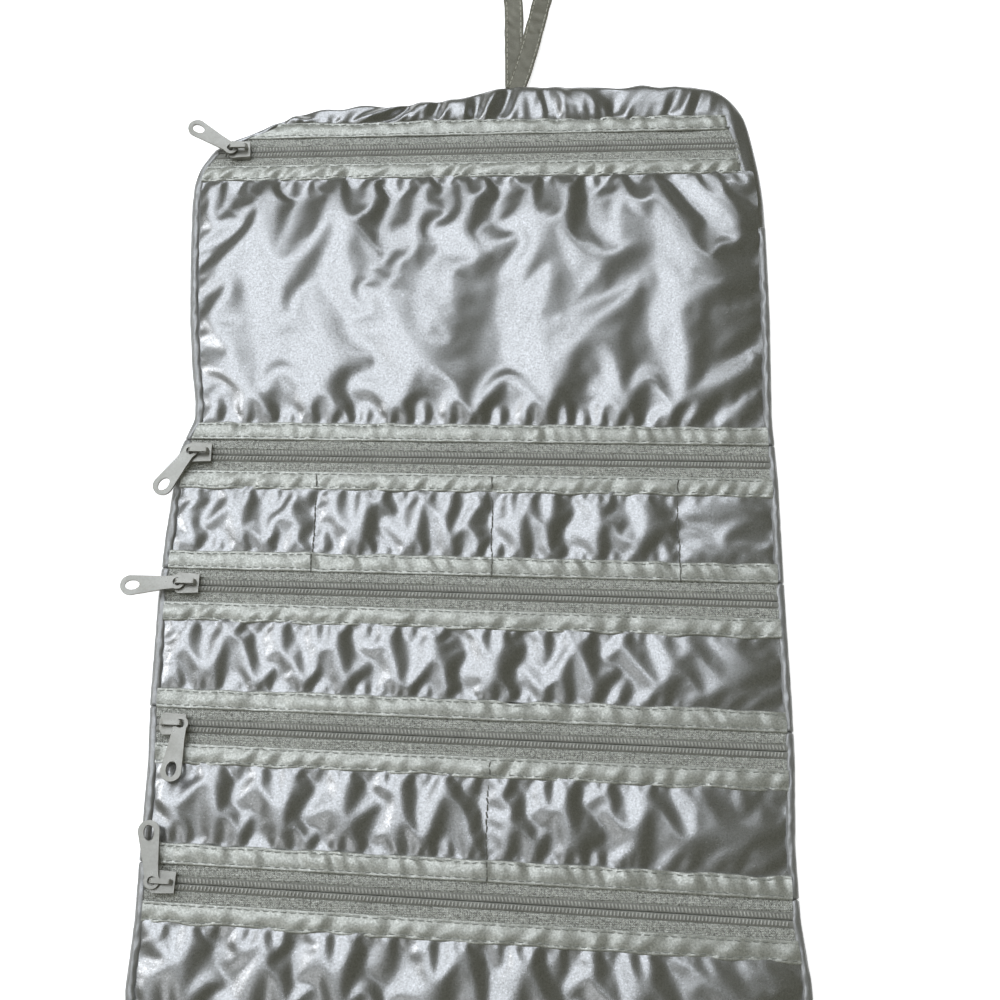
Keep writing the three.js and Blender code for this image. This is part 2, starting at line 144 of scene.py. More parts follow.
def mesh_piece(name, points, quads, material, sewn=True):
    """A smooth mesh of four-sided faces from points in millimetres, fanned where it is sewn on."""
    mesh = bpy.data.meshes.new(name)
    mesh.vertices.add(len(points))
    places = fanned(points) if sewn else np.asarray(points, float)
    mesh.vertices.foreach_set("co", (places * MM).ravel())
    mesh.loops.add(quads.size)
    mesh.loops.foreach_set("vertex_index", quads.ravel().astype(np.int32))
    mesh.polygons.add(len(quads))
    mesh.polygons.foreach_set("loop_start", np.arange(0, quads.size, 4, dtype=np.int32))
    mesh.update(calc_edges=True)
    mesh.validate()
    mesh.polygons.foreach_set("use_smooth", np.ones(len(mesh.polygons), bool))
    mesh.materials.append(material)
    piece = bpy.data.objects.new(name, mesh)
    scene.collection.objects.link(piece)
    return piece


def grid_quads(rows, columns, closed_rows=False, closed_columns=False):
    """The faces between neighbouring points of a grid, joined end to start where it is closed."""
    index = np.arange(rows * columns).reshape(rows, columns)
    if closed_rows:
        index = np.append(index, index[:1], axis=0)
    if closed_columns:
        index = np.append(index, index[:, :1], axis=1)
    corners = [index[:-1, :-1], index[1:, :-1], index[1:, 1:], index[:-1, 1:]]
    return np.stack(corners, axis=-1).reshape(-1, 4)


def grid_piece(name, points, material, closed_rows=False, closed_columns=False, sewn=True):
    """A surface piece from points[row, column] in millimetres."""
    rows, columns = points.shape[:2]
    quads = grid_quads(rows, columns, closed_rows, closed_columns)
    return mesh_piece(name, points.reshape(-1, 3), quads, material, sewn)


def smoothed(piece):
    """Rounds a piece with one step of a subdivision surface."""
    rounding = piece.modifiers.new("rounding", "SUBSURF")
    rounding.levels = 1
    rounding.render_levels = 1
    return piece


# %% Shape helpers
def ripple(seed, x, y, wavelength, waves=26):
    """Rolling noise of about one wavelength: a sum of plane waves in seeded random directions."""
    dice = np.random.default_rng(seed)
    heading = dice.uniform(0, 2 * np.pi, waves)
    number = 2 * np.pi / (wavelength * dice.uniform(0.7, 1.5, waves))
    phase = dice.uniform(0, 2 * np.pi, waves)
    total = np.zeros(np.broadcast(x, y).shape)
    for angle, k, start in zip(heading, number, phase):
        total += np.sin(k * (np.cos(angle) * x + np.sin(angle) * y) + start)
    return total / np.sqrt(waves / 2)


def once_around(steps):
    """Even angles around a circle."""
    return np.linspace(0, 2 * np.pi, steps, endpoint=False)


def pressed(wave, power):
    """A wave between -1 and 1, pressed toward a square one: its size is raised to a small power."""
    return np.sign(wave) * np.abs(wave) ** power


def lengths_along(line):
    """How far along a line each of its points lies."""
    return np.append(0, np.cumsum(np.linalg.norm(np.diff(line, axis=0), axis=1)))


def at_lengths(line, gone, wanted):
    """The places on a line at the wanted lengths, where gone is the length at each of its points."""
    return np.stack([np.interp(wanted, gone, values) for values in line.T], axis=1)


CAPSULE_SIDES = 6
CAPSULE_STATIONS = np.array([-0.5, -0.3, 0.3, 0.5])
CAPSULE_GIRTHS = np.array([0.26, 0.5, 0.5, 0.26])


def capsules(name, places, size, yaws, material, sewn=True):
    """Copies of a short rounded rod, each turned by its yaw and set down at its place.

    The rod is four rings of points along its length, with the two end rings closed across."""
    length, width, height = size
    count, rings = len(places), len(CAPSULE_STATIONS)
    around = once_around(CAPSULE_SIDES)
    girth = np.repeat(CAPSULE_GIRTHS, CAPSULE_SIDES)
    far = np.repeat(CAPSULE_STATIONS, CAPSULE_SIDES) * length
    wide = girth * np.tile(np.cos(around), rings) * width
    high = girth * np.tile(np.sin(around), rings) * height
    yaw = np.broadcast_to(yaws, count)[:, None]
    rods = as_points(
        far * np.cos(yaw) - wide * np.sin(yaw),
        far * np.sin(yaw) + wide * np.cos(yaw),
        high,
    )
    points = rods + places[:, None]
    sides = grid_quads(rings, CAPSULE_SIDES, closed_columns=True)
    first_end = np.array([[3, 2, 1, 0], [5, 4, 3, 0]])
    last_end = CAPSULE_SIDES * (rings - 1) + np.array([[0, 1, 2, 3], [0, 3, 4, 5]])
    one = np.concatenate([sides, first_end, last_end])
    quads = one + points.shape[1] * np.arange(count)[:, None, None]
    return mesh_piece(name, points.reshape(-1, 3), quads.reshape(-1, 4), material, sewn)


print("mesh and shape helpers ready")

# %% [markdown]
# ## Finishes
# Satin is long floating threads that lie side by side, so it is nearly a metal to the eye: a soft mirror
# with dark and bright patches. The zip tape is a dull close weave, the facings are the same satin pressed
# flat, and the pulls are die-cast metal under grey paint. Two effects are shared by most of them, a fine
# weave that is felt in the light and a slow drift of colour, so each is a node group of its own.

# %% Shared effects
NUMBER, COLOUR = "NodeSocketFloat", "NodeSocketColor"


def new_group(name, inputs, outputs):
    """An empty shader group with named sockets, and its entry and exit nodes."""
    group = bpy.data.node_groups.new(name, "ShaderNodeTree")
    for way, sockets in (("INPUT", inputs), ("OUTPUT", outputs)):
        for label, kind in sockets.items():
            group.interface.new_socket(label, in_out=way, socket_type=kind)
    return group, group.nodes.new("NodeGroupInput"), group.nodes.new("NodeGroupOutput")


def set_inputs(node, **values):
    """Sets a node's sockets by name, where _ stands for a space."""
    for label, value in values.items():
        node.inputs[label.replace("_", " ")].default_value = value


def added(tree, kind, **values):
    """A new shader node with its sockets set."""
    node = tree.nodes.new(f"ShaderNode{kind}")
    set_inputs(node, **values)
    return node


def noise_layer(tree, coords, scale, detail):
    """Smooth noise over the coordinates, with its scale from a socket."""
    noise = added(tree, "TexNoise", Detail=detail)
    tree.links.new(coords, noise.inputs["Vector"])
    tree.links.new(scale, noise.inputs["Scale"])
    return noise.outputs["Fac"]


def arithmetic(tree, kind, first, second):
    """A Math node that takes a socket or a number on each side and returns its result socket."""
    node = added(tree, "Math")
    node.operation = kind
    for slot, value in zip(node.inputs, (first, second)):
        if isinstance(value, (int, float)):
            slot.default_value = value
        else:
            tree.links.new(value, slot)
    return node.outputs[0]


def weave_group():
    """Over-and-under threads: two crossed band waves, roughened by a noise that breaks up their order."""
    group, entry, leave = new_group(
        "thread_weave", {"Threads": NUMBER, "Crossing": NUMBER, "Slubs": NUMBER}, {"Height": NUMBER},
    )
    links = group.links
    coords = added(group, "TexCoord").outputs["Object"]
    bands = []
    for direction in ("X", "Y"):
        wave = added(group, "TexWave", Distortion=1.2, Detail=0)
        wave.bands_direction = direction
        links.new(coords, wave.inputs["Vector"])
        links.new(entry.outputs["Threads"], wave.inputs["Scale"])
        bands.append(wave.outputs["Fac"])
    slubs = noise_layer(group, coords, entry.outputs["Slubs"], 2)
    crossed = arithmetic(group, "MULTIPLY", *bands)
    shown = arithmetic(group, "MULTIPLY", crossed, entry.outputs["Crossing"])
    total = arithmetic(group, "ADD", shown, slubs)
    links.new(total, leave.inputs["Height"])
    return group


def drift_group():
    """A slow drift between two colours, with a finer mottle on top of it."""
    group, entry, leave = new_group(
        "colour_drift",
        {"Light": COLOUR, "Dark": COLOUR, "Patches": NUMBER, "Specks": NUMBER},
        {"Color": COLOUR, "Amount": NUMBER},
    )
    links = group.links
    coords = added(group, "TexCoord").outputs["Object"]
    patches = noise_layer(group, coords, entry.outputs["Patches"], 3)
    specks = noise_layer(group, coords, entry.outputs["Specks"], 1)
    mottle = arithmetic(group, "MULTIPLY", specks, 0.6)
    amount = arithmetic(group, "ADD", patches, mottle)
    spread = added(group, "MapRange", From_Min=0.5, From_Max=1.1)
    links.new(amount, spread.inputs["Value"])
    mix = added(group, "Mix")
    mix.data_type = "RGBA"
    links.new(spread.outputs["Result"], mix.inputs["Factor"])
    links.new(entry.outputs["Dark"], mix.inputs["A"])
    links.new(entry.outputs["Light"], mix.inputs["B"])
    links.new(mix.outputs["Result"], leave.inputs["Color"])
    links.new(spread.outputs["Result"], leave.inputs["Amount"])
    return group


THREAD_WEAVE = weave_group()
COLOUR_DRIFT = drift_group()
print("shared effects:", THREAD_WEAVE.name, COLOUR_DRIFT.name)

# %% Finishes from the shared effects
def finish(name, light, dark, weave=None, patches=150.0, specks=1500.0, rough=None, **values):
    """A material whose colour drifts between two shades, with a woven or pitted surface.

    weave is (threads, slubs, depth): wave and noise scales per metre and the bump's depth in metres.
    Threads too fine to see are given as 0 and leave only the slubs. rough is (low, high) where the gloss
    drifts with the colour. values go straight on the shader."""
    material = bpy.data.materials.new(name)
    material.use_nodes = True
    tree = material.node_tree
    shader = tree.nodes["Principled BSDF"]
    set_inputs(shader, **values)
    drift = added(tree, "Group")
    drift.node_tree = COLOUR_DRIFT
    set_inputs(drift, Light=(*light, 1), Dark=(*dark, 1), Patches=patches, Specks=specks)
    tree.links.new(drift.outputs["Color"], shader.inputs["Base Color"])
    if rough:
        low, high = rough
        gloss = added(tree, "MapRange", To_Min=high, To_Max=low)
        tree.links.new(drift.outputs["Amount"], gloss.inputs["Value"])
        tree.links.new(gloss.outputs["Result"], shader.inputs["Roughness"])
    if weave:
        threads, slubs, depth = weave
        cloth = added(tree, "Group")
        cloth.node_tree = THREAD_WEAVE
        set_inputs(cloth, Threads=threads, Crossing=float(threads > 0), Slubs=slubs)
        bump = added(tree, "Bump", Distance=depth)
        tree.links.new(cloth.outputs["Height"], bump.inputs["Height"])
        tree.links.new(bump.outputs["Normal"], shader.inputs["Normal"])
    return material


SATIN = finish(
    "satin", (0.52, 0.52, 0.525), (0.29, 0.29, 0.28), weave=(0.0, 2200.0, 0.00004),
    patches=1400.0, specks=3000.0, rough=(0.26, 0.34), Metallic=0.85,
)
FACING = finish(
    "pressed_satin", (0.70, 0.705, 0.655), (0.34, 0.345, 0.305), weave=(0.0, 2000.0, 0.00005),
    patches=1400.0, specks=3000.0, rough=(0.36, 0.46), Metallic=0.5,
)
BINDING = finish(
    "edge_satin", (0.45, 0.45, 0.45), (0.33, 0.33, 0.32), weave=(0.0, 2000.0, 0.00004),
    rough=(0.35, 0.5), Metallic=0.5,
)
TAPE = finish(
    "zip_tape", (0.78, 0.785, 0.725), (0.17, 0.17, 0.148), weave=(420.0, 1300.0, 0.0002),
    patches=1300.0, specks=2600.0, Roughness=0.75,
)
# The zip cords are coloured darker than the teeth: painted shade for the gaps between the bars, where the
# cords show.
CORDS_PAINTED_SHADE = finish("zip_cords_painted_shade", (0.36, 0.358, 0.325), (0.27, 0.268, 0.24), rough=(0.45, 0.6))
TOOTH = finish("zip_teeth", (0.64, 0.635, 0.59), (0.52, 0.515, 0.475), rough=(0.35, 0.5))
THREAD = finish("sewing_thread", (0.22, 0.22, 0.19), (0.13, 0.13, 0.11), patches=300.0, Roughness=0.6)
FACING_THREAD = finish(
    "facing_thread", (0.40, 0.41, 0.38), (0.27, 0.28, 0.25), patches=300.0, Roughness=0.6,
)
METAL = finish(
    "painted_metal", (0.40, 0.392, 0.36), (0.31, 0.302, 0.268), weave=(150.0, 700.0, 0.000006),
    patches=120.0, rough=(0.26, 0.38), Metallic=0.5,
)
TIE_THREAD = finish(
    "tie_thread", (0.66, 0.645, 0.55), (0.5, 0.485, 0.4), weave=(0.0, 1800.0, 0.00001), rough=(0.5, 0.6),
)
RIBBON = finish(
    "ribbon_satin", (0.235, 0.226, 0.176), (0.155, 0.147, 0.112), weave=(0.0, 1800.0, 0.00004),
    rough=(0.36, 0.5), Metallic=0.3,
)
print("finishes:", len(bpy.data.materials))

# %% [markdown]
# ## The two ties
# Two satin ribbons are sewn into one point of the top edge and close the roll with a bow. They are limp,
# so they lie along the table in slow bends. Each one is a flat section with a rolled hem on both edges,
# carried level along a smooth line, close to that of its solid, and ends in an overhand knot.

# %% Tie lines
TOP_Y = 180.0
TIE_X = 12.0
TIE_WIDTH = 7.5
TIE_FOOT = np.array([TIE_X, TOP_Y * (1 + FAN * (TIE_X + TIE_WIDTH / 2)), 0.0])
TIE_HALF_THICKNESS = 0.35
TIE_STEPS = 480
STRETCH_STEPS = 40
TIE_POINTS = {
    "tie_left": [
        [0, 0.7, 1.3], [-0.4, 12, 1.1], [-0.6, 26, 0.6], [-1, 44, 0.4], [-3, 62, 0.4], [-8, 78, 0.4],
        [-18, 92, 0.4], [-32, 100, 0.4], [-48, 100, 0.4], [-62, 93, 0.4], [-70, 81, 0.4], [-78, 69, 0.4],
        [-92, 62, 0.4], [-108, 63, 0.4], [-119, 72, 0.4], [-124, 86, 0.4], [-122, 101, 0.4],
        [-112, 113, 0.4], [-98, 120, 0.9], [-82, 123, 2.7],
    ],
    "tie_right": [
        [0, 1.2, 2.6], [2.6, 10, 2.6], [5.6, 22, 2.3], [8.2, 34, 1.6], [10.6, 46, 0.6], [14, 63, 0.4],
        [20, 79, 0.4], [31, 92, 0.4], [46, 99, 0.4], [62, 97, 0.4], [74, 88, 0.4], [81, 75, 0.4],
        [91, 64, 0.4], [106, 60, 0.4], [120, 66, 0.4], [128, 79, 0.4], [127, 95, 0.4], [118, 108, 0.4],
        [104, 116, 0.9], [88, 120, 2.7],
    ],
}


def smooth_line(marks, steps):
    """A line through all marks: each stretch is a cubic whose end directions run from the mark before to
    the mark after, and the result is spaced evenly by length."""
    marks = np.asarray(marks, float)
    padded = np.concatenate([2 * marks[:1] - marks[1:2], marks, 2 * marks[-1:] - marks[-2:-1]])
    t = np.linspace(0, 1, STRETCH_STEPS, endpoint=False)[None, :, None]
    before, start, end, after = (padded[k:len(padded) - 3 + k, None, :] for k in range(4))
    cubic = (
        start + 0.5 * t * (end - before)
        + t ** 2 * (before - 2.5 * start + 2 * end - 0.5 * after)
        + t ** 3 * (1.5 * (start - end) + 0.5 * (after - before))
    )
    dense = np.concatenate([cubic.reshape(-1, 3), marks[-1:]])
    gone = lengths_along(dense)
    return at_lengths(dense, gone, np.linspace(0, gone[-1], steps)), gone[-1]


def level_frames(line):
    """Directions level across the line, and upward from it."""
    along = unit(np.gradient(line, axis=0))
    aside = unit(as_points(along[:, 1], -along[:, 0], 0.0))
    return aside, np.cross(aside, along)


# %% Ribbons with rolled hems
RIBBON_SIDES = 40
HEM_SHARE = 0.78
WEB_THICKNESS, HEM_SWELL = 0.55, 0.45
WEB_PUCKER, WEB_WAVE = 0.07, 7
EDGE_WAVER, EDGE_WAVE = 0.018, 14
HEM_PITCH = 2.6
HEM_STITCH_SIZE = (HEM_PITCH * 0.72, 0.4, 0.34)
HEM_STITCH_IN, HEM_STITCH_RISE = 0.04, 0.2
KNOT_REACH = 5.3
TAIL_REACH, TAIL_LAP, TAIL_STEPS = 13.0, 0.4, 60
TAIL_LEVELS = (2.6, 0.8)
TAIL_DRAWN = (0.5, 0.85)
DRAWN_STEPS = 24
DRAWN_AT_KNOT = 0.55


def ribbon(name, line, drawn, seed):
    """A flat closed section carried along the line: thick hems at both edges, a thin web between. Drawn
    holds the share of its width that is left at each place, since a knot pulls it together."""
    around = once_around(RIBBON_SIDES)
    share = pressed(np.cos(around), 0.55)
    hem = np.clip((np.abs(share) - HEM_SHARE) / (1 - HEM_SHARE), 0, 1)
    thick = TIE_HALF_THICKNESS * (WEB_THICKNESS + HEM_SWELL * np.sin(np.pi * np.sqrt(hem)))
    high = pressed(np.sin(around), 0.5) * thick
    aside, upward = level_frames(line)
    length = np.linspace(0, len(line), len(line))[:, None]
    pucker = WEB_PUCKER * ripple(seed, length, share[None] * 9, WEB_WAVE) * (1 - hem[None])
    edge = 1 + EDGE_WAVER * ripple(seed + 1, length, np.sign(share)[None] * 40, EDGE_WAVE)
    wide = TIE_WIDTH / 2 * share[None] * edge * drawn[:, None]
    points = line[:, None] + wide[..., None] * aside[:, None] + (high + pucker)[..., None] * upward[:, None]
    return grid_piece(name, points, RIBBON, closed_columns=True, sewn=False)


def tail_ribbon(name, end, way, seed):
    """The ribbon's last stretch: from its end through the knot, and out of it as a short tail."""
    reach = np.linspace(-TAIL_LAP, TAIL_REACH, TAIL_STEPS)
    line = end + reach[:, None] * way
    marks = [0, KNOT_REACH, TAIL_REACH]
    line[:, 2] = np.interp(reach, marks, [end[2], *TAIL_LEVELS])
    return ribbon(name, line, np.interp(reach, marks, [DRAWN_AT_KNOT, *TAIL_DRAWN]), seed)


def hem_stitches(name, line):
    """Two rows of stitches along a ribbon, one inside each hem."""
    aside, upward = level_frames(line)
    total = lengths_along(line)[-1]
    pick = np.linspace(4, len(line) - 5, int(total / HEM_PITCH)).astype(int)
    yaw = np.arctan2(aside[pick, 0], -aside[pick, 1]) + np.pi
    places = []
    for way in (-1, 1):
        shift = way * TIE_WIDTH / 2 * (HEM_SHARE - HEM_STITCH_IN)
        places.append(line[pick] + shift * aside[pick] + HEM_STITCH_RISE * upward[pick])
    places, yaws = np.concatenate(places), np.tile(yaw, 2)
    return capsules(name, places, HEM_STITCH_SIZE, yaws, TIE_THREAD, sewn=False)


# %% Knots
KNOT_STEPS, KNOT_SIDES = 160, 14
KNOT_SIZE = np.array([1.18, 0.92, 0.95])
KNOT_GIRTH = 1.55


def knot(name, centre, way):
    """An overhand knot: a closed three-lobed line with a soft round section, pressed flat and turned to
    the tie's direction."""
    t = once_around(KNOT_STEPS)
    line = np.stack([
        np.sin(t) + 2 * np.sin(2 * t),
        np.cos(t) - 2 * np.cos(2 * t),
        -1.1 * np.sin(3 * t),
    ], axis=1) * KNOT_SIZE
    along = unit(np.roll(line, -1, axis=0) - np.roll(line, 1, axis=0))
    aside = unit(np.cross(along, unit(line)))
    normal = np.cross(aside, along)
    around = once_around(KNOT_SIDES)
    girth = KNOT_GIRTH + 0.12 * np.sin(5 * around)[None] + 0.1 * np.sin(9 * t)[:, None]
    ring = around[None, :, None]
    section = np.cos(ring) * aside[:, None] + np.sin(ring) * normal[:, None]
    x, y, z = np.moveaxis(line[:, None] + girth[..., None] * section, -1, 0)
    points = as_points(
        way[0] * x - way[1] * y + centre[0],
        way[1] * x + way[0] * y + centre[1],
        z - z.min(),
    )
    return grid_piece(name, points, RIBBON, closed_rows=True, closed_columns=True, sewn=False)


# %% Lay the ties
for seed, (name, offsets) in enumerate(TIE_POINTS.items()):
    line, length = smooth_line(TIE_FOOT + np.array(offsets, float), TIE_STEPS)
    way = unit((line[-1] - line[-6]) * [1, 1, 0])
    last = [TIE_STEPS - DRAWN_STEPS, TIE_STEPS - 1]
    drawn = np.interp(np.arange(TIE_STEPS), last, [1, DRAWN_AT_KNOT])
    tie = ribbon(f"{name}_ribbon", line, drawn, 40 + seed)
    tail = tail_ribbon(f"{name}_tail", line[-1], way, 44 + seed)
    stitches = hem_stitches(f"{name}_stitches", line[:-DRAWN_STEPS])
    end_knot = knot(f"{name}_end_knot", line[-1] + KNOT_REACH * way, way)
    for piece in (tie, tail, stitches, end_knot):
        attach(piece, "panel_1")
    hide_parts(name)
    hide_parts(f"{name}_knot")
    print(name, "length", round(length, 1), "mm")

# %% [markdown]
# ## The plan of the roll
# The same sizes as the solids: five panels from the tie end down, each with a zip across its top and a
# gathered pocket below it. The edges of the real roll aren't ruled lines. They draw in at the foot of the
# big pocket, swell beside the small ones and slope down at the tie end's left corner, so they are given
# as marks that a line is drawn through: a height and the half width there for each side, and an outer and
# an inner line for the band at the tie end.

# %% Plan sizes
HALF_WIDTH = 107.5
ZIP_TOPS = np.array([167.0, 38.4, -11.4, -61.6, -114.0])
ZIP_HALF = 13.0
CHAINS = ZIP_TOPS - ZIP_HALF
MOUTHS = CHAINS - ZIP_HALF
POCKET_ENDS = np.array([38.4, -11.4, -61.6, -114.0, -170.0])
BOTTOM_CORNER = (12.0, 10.0)
SIDE_MARKS = {
    -1: np.array([
        [-180, 95.5], [-170, 107], [-161, 107.7], [-139, 106.8], [-117, 107.1], [-87, 107.2], [-66, 108.4],
        [-30, 108.9], [-7, 108.5], [16, 107.1], [25, 106.6], [30, 105.4], [40, 101.8], [48, 102.4],
        [60, 104.4], [81, 106.9], [110, 109], [133, 110.1], [142, 109.7], [149, 107.6], [156, 103.2],
        [160, 97], [163, 90], [167, 82],
    ]),
    1: np.array([
        [-180, 95.5], [-170, 108], [-147, 109.2], [-127, 106.6], [-105, 106.2], [-77, 107.7], [-57, 107.8],
        [-23, 107.4], [19, 107.4], [42, 106.4], [81, 107.8], [130, 108.3], [138, 107.6], [151, 105.5],
        [160, 104], [167, 102.3],
    ]),
}
TOP_OUTER = np.array([
    [-103.5, 155.5], [-97, 160], [-90, 162.7], [-79, 168.5], [-68, 172.9], [-52.5, 174.8], [-33, 174.7],
    [-10, 177.4], [2, 180.6], [8, 182.2], [20, 182.4], [30, 181.6], [53, 181.2], [78, 180.8], [91, 179.4],
    [95, 177.1], [98.6, 172.9], [102.3, 167], [104, 160.3], [105.6, 151.5], [107.2, 141], [108.1, 130],
    [108.3, 116],
])
TOP_INNER = np.array([
    [-101.6, 153.6], [-95.6, 158.1], [-89, 160.8], [-78.5, 165.2], [-68, 167], [-52.5, 167], [-33, 167],
    [-10, 167], [2, 167], [8, 167], [20, 167], [30, 167], [53, 167], [76, 167], [87, 167],
    [91, 166.4], [94, 164.4], [96.4, 160.5], [97.8, 156], [99.2, 149.5], [101.2, 140], [103.2, 129],
    [105.6, 115.5],
])
LOWEST_MARK, HIGHEST_MARK = -181, 168
STEEPEST = 2.5
BEND_REACH = 6.0


def side_x(side, y, inset=0.0):
    """Where the roll's side lies at height y, drawn in by the inset, which counts square to the edge."""
    y = np.asarray(y, float)
    fine = np.arange(LOWEST_MARK, HIGHEST_MARK + 1.0)
    out = np.interp(fine, *SIDE_MARKS[side].T)
    out = np.convolve(np.pad(out, 2, mode="edge"), np.ones(5) / 5, mode="valid")
    lean = np.hypot(1, np.gradient(out, fine))
    return side * (np.interp(y, fine, out) - inset * np.interp(y, fine, np.minimum(lean, STEEPEST)))


def fold(piece):
    """Bakes a piece's placement into its mesh; the piece is not bent over a fold."""
    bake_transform(piece)


def follow(piece, panel):
    """Bakes a piece in place on the first four panels. The last panel's pieces ride on it."""
    if panel < 5:
        fold(piece)
    else:
        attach(piece, "panel_5")


print("panels from", ZIP_TOPS[0], "to", POCKET_ENDS[-1])

# %% [markdown]
# ## Gathered pockets
# Each pocket front is cut wider and taller than the place it is sewn to, and the seams gather the spare
# cloth into puckers. Noise could only imitate that, so the cloth is simulated: a net of threads that
# know their cut length is pinned along its seams, and the threads are pushed apart, round after round,
# until they have their length. The spare length then has nowhere to go but up. A coarse net is settled
# first for the big folds and a fine one for the small puckers. Neither can sink through the uneven lining.

# %% Thread net
CARRIED_ON = 0.9
TINY = 1e-9


def thread_sets(bend, shear):
    """Pairs of points joined by threads, in sets that share no point: neighbours along both ways of the
    cloth, the diagonals that keep it square, and points two apart that keep it from creasing sharply."""
    whole, lower, upper = slice(None), slice(0, -1), slice(1, None)
    for start in (0, 1):
        near, far = slice(start, -1, 2), slice(start + 1, None, 2)
        yield (near, whole), (far, whole), 1.0
        yield (whole, near), (whole, far), 1.0
        yield (near, lower), (far, upper), shear
        yield (near, upper), (far, lower), shear
    for start in range(4):
        near, far = slice(start, -2, 4), slice(start + 2, None, 4)
        yield (near, whole), (far, whole), bend
        yield (whole, near), (whole, far), bend


def draw_to_length(net, free, first, second, cut, firmness):
    """Moves both ends of every thread in a set so that its span nears its cut length."""
    span = net[second] - net[first]
    length = np.sqrt((span * span).sum(axis=-1)) + TINY
    share = firmness * (length - cut) / (length * (free[first] + free[second] + TINY))
    step = share[..., None] * span
    net[first] += free[first][..., None] * step
    net[second] -= free[second][..., None] * step


def cut_lengths(plan, spare, first, second):
    """Cut lengths of a set's threads: their spans on the plan, each way of it longer by its spare share."""
    span = plan[second] - plan[first]
    stretch = 1 + (spare[first] + spare[second]) / 2
    return np.hypot(span[..., 0] * stretch[..., 0], span[..., 1] * stretch[..., 1])


def settle(net, free, plan, spare, floor, rounds, bend, shear):
    """Rounds of drawing threads to length, with a little of the last round's motion carried on, and
    staying above the floor. The plan is where the net is sewn, and spare the share of extra cloth there
    across and along the pocket."""
    before = net.copy()
    sets = [
        (first, second, cut_lengths(plan, spare, first, second), firmness)
        for first, second, firmness in thread_sets(bend, shear)
    ]
    for _ in range(rounds):
        drift = CARRIED_ON * (net - before)
        before = net.copy()
        net += free[..., None] * drift
        for first, second, cut, firmness in sets:
            draw_to_length(net, free, first, second, cut, firmness)
        net[..., 2] = np.maximum(net[..., 2], floor)
    return net


def finer(net):
    """Doubles a net by putting a point midway along every thread."""
    for _ in range(2):
        doubled = np.empty((2 * len(net) - 1, *net.shape[1:]))
        doubled[::2] = net
        doubled[1::2] = (net[:-1] + net[1:]) / 2
        net = doubled.swapaxes(0, 1)
    return net.copy()


# %% Pocket nets
DIVIDERS = [[], [-57.0, 5.0, 71.0], [], [5.0], []]
SEAM_LEVEL = 3.3
MOUTH_LEVEL = 4.3
POCKET_FLOOR = 2.4
LINING_WAVE, LINING_RISE = 8.0, 0.4
PUCKER_WAVE, PUCKER_RISE = 6.5, 0.12
POCKET_CROWN = [6.0, 5.0, 5.3, 5.3, 5.4]
COARSE_CELL = [3.2, 2.8, 2.8, 2.8, 2.9]
FOLD_WIDTHS = [34.0, 19.0, 20.0, 20.0, 24.0]
FOLD_LEAN = [0.0, 1.0, 0.8, 0.7, 0.5]
FOLD_STRENGTH = [0.26, 0.45, 0.4, 0.4, 0.4]
SEAM_SLACK = [0.07] + [0.045] * 4
MIDDLE_SLACK = [0.014, 0.028, 0.028, 0.028, 0.026]
HEIGHT_SLACK = [0.012] + [0.014] * 4
GATHER_REACH = [(0.12, 0.3)] + [(0.3, 0.4)] * 4
CALM_ENDS = [(60.0, 95.0)] + [(42.0, 76.0)] * 4
CALM_SHARE = 0.12
POCKET_INSET = 2.8
FOOT_LAP, MOUTH_LAP = 0.2, 0.9
MOUTH_TURN = 6
SWELL_REACH, SWELL_POWER = 11, 1.8
COARSE_SETTLING = {"rounds": 200, "bend": 0.3, "shear": 0.35}
FINE_SETTLING = {"rounds": 140, "bend": 0.25, "shear": 0.3}
MAIN_FOLDS = {
    0: [
        ((-56, 128), (-74, 98), 11, 2.4), ((-24, 128), (-34, 92), 11, 2.2), ((16, 128), (44, 102), 11, 2.6),
        ((70, 126), (86, 96), 11, 2.2), ((-34, 76), (-10, 54), 11, 2.0), ((40, 78), (58, 54), 11, 2.0),
    ],
    1: [((-90, 3), (-72, -2), 7, 1.2), ((-44, 3), (-12, -2), 7, 1.2), ((18, 3), (56, -2), 7, 1.2)],
}


def seam_places(number, columns):
    """The x of every column of a net, and the columns that lie on divider seams, moved onto them."""
    x = np.linspace(-1, 1, columns) * (HALF_WIDTH - POCKET_INSET)
    held = [int(np.argmin(np.abs(x - seam))) for seam in DIVIDERS[number]]
    x[held] = DIVIDERS[number]
    return x, held


def fold_rise(number, x, y):
    """How far a pocket's main folds lift it: each is a soft ridge from one place to another, with a half
    width and a rise."""
    lift = np.zeros(x.shape)
    for start, end, half, rise in MAIN_FOLDS.get(number, []):
        run = np.subtract(end, start)
        share = ((x - start[0]) * run[0] + (y - start[1]) * run[1]) / (run @ run)
        share = np.clip(share, 0, 1)
        away = np.hypot(x - start[0] - share * run[0], y - start[1] - share * run[1])
        lift += rise / 2 * (1 + np.cos(np.pi * np.minimum(1, away / half)))
    return lift


def slack_by_row(number, y):
    """Spare width of each row: most at the two gathered seams, least between them."""
    share = (y - y[0]) / (y[-1] - y[0])
    middle, seam = MIDDLE_SLACK[number], SEAM_SLACK[number]
    foot, mouth = GATHER_REACH[number]
    near_foot = np.clip(1 - share / foot, 0, 1)
    near_mouth = np.clip(1 - (1 - share) / mouth, 0, 1)
    return middle + (seam - middle) * np.maximum(near_foot, near_mouth)


def loose(shape, held):
    """1 for every point of a net that may move, 0 along its rim and in its held columns."""
    free = np.ones(shape)
    free[[0, -1]] = 0
    free[:, [0, -1]] = 0
    free[held] = 0
    return free


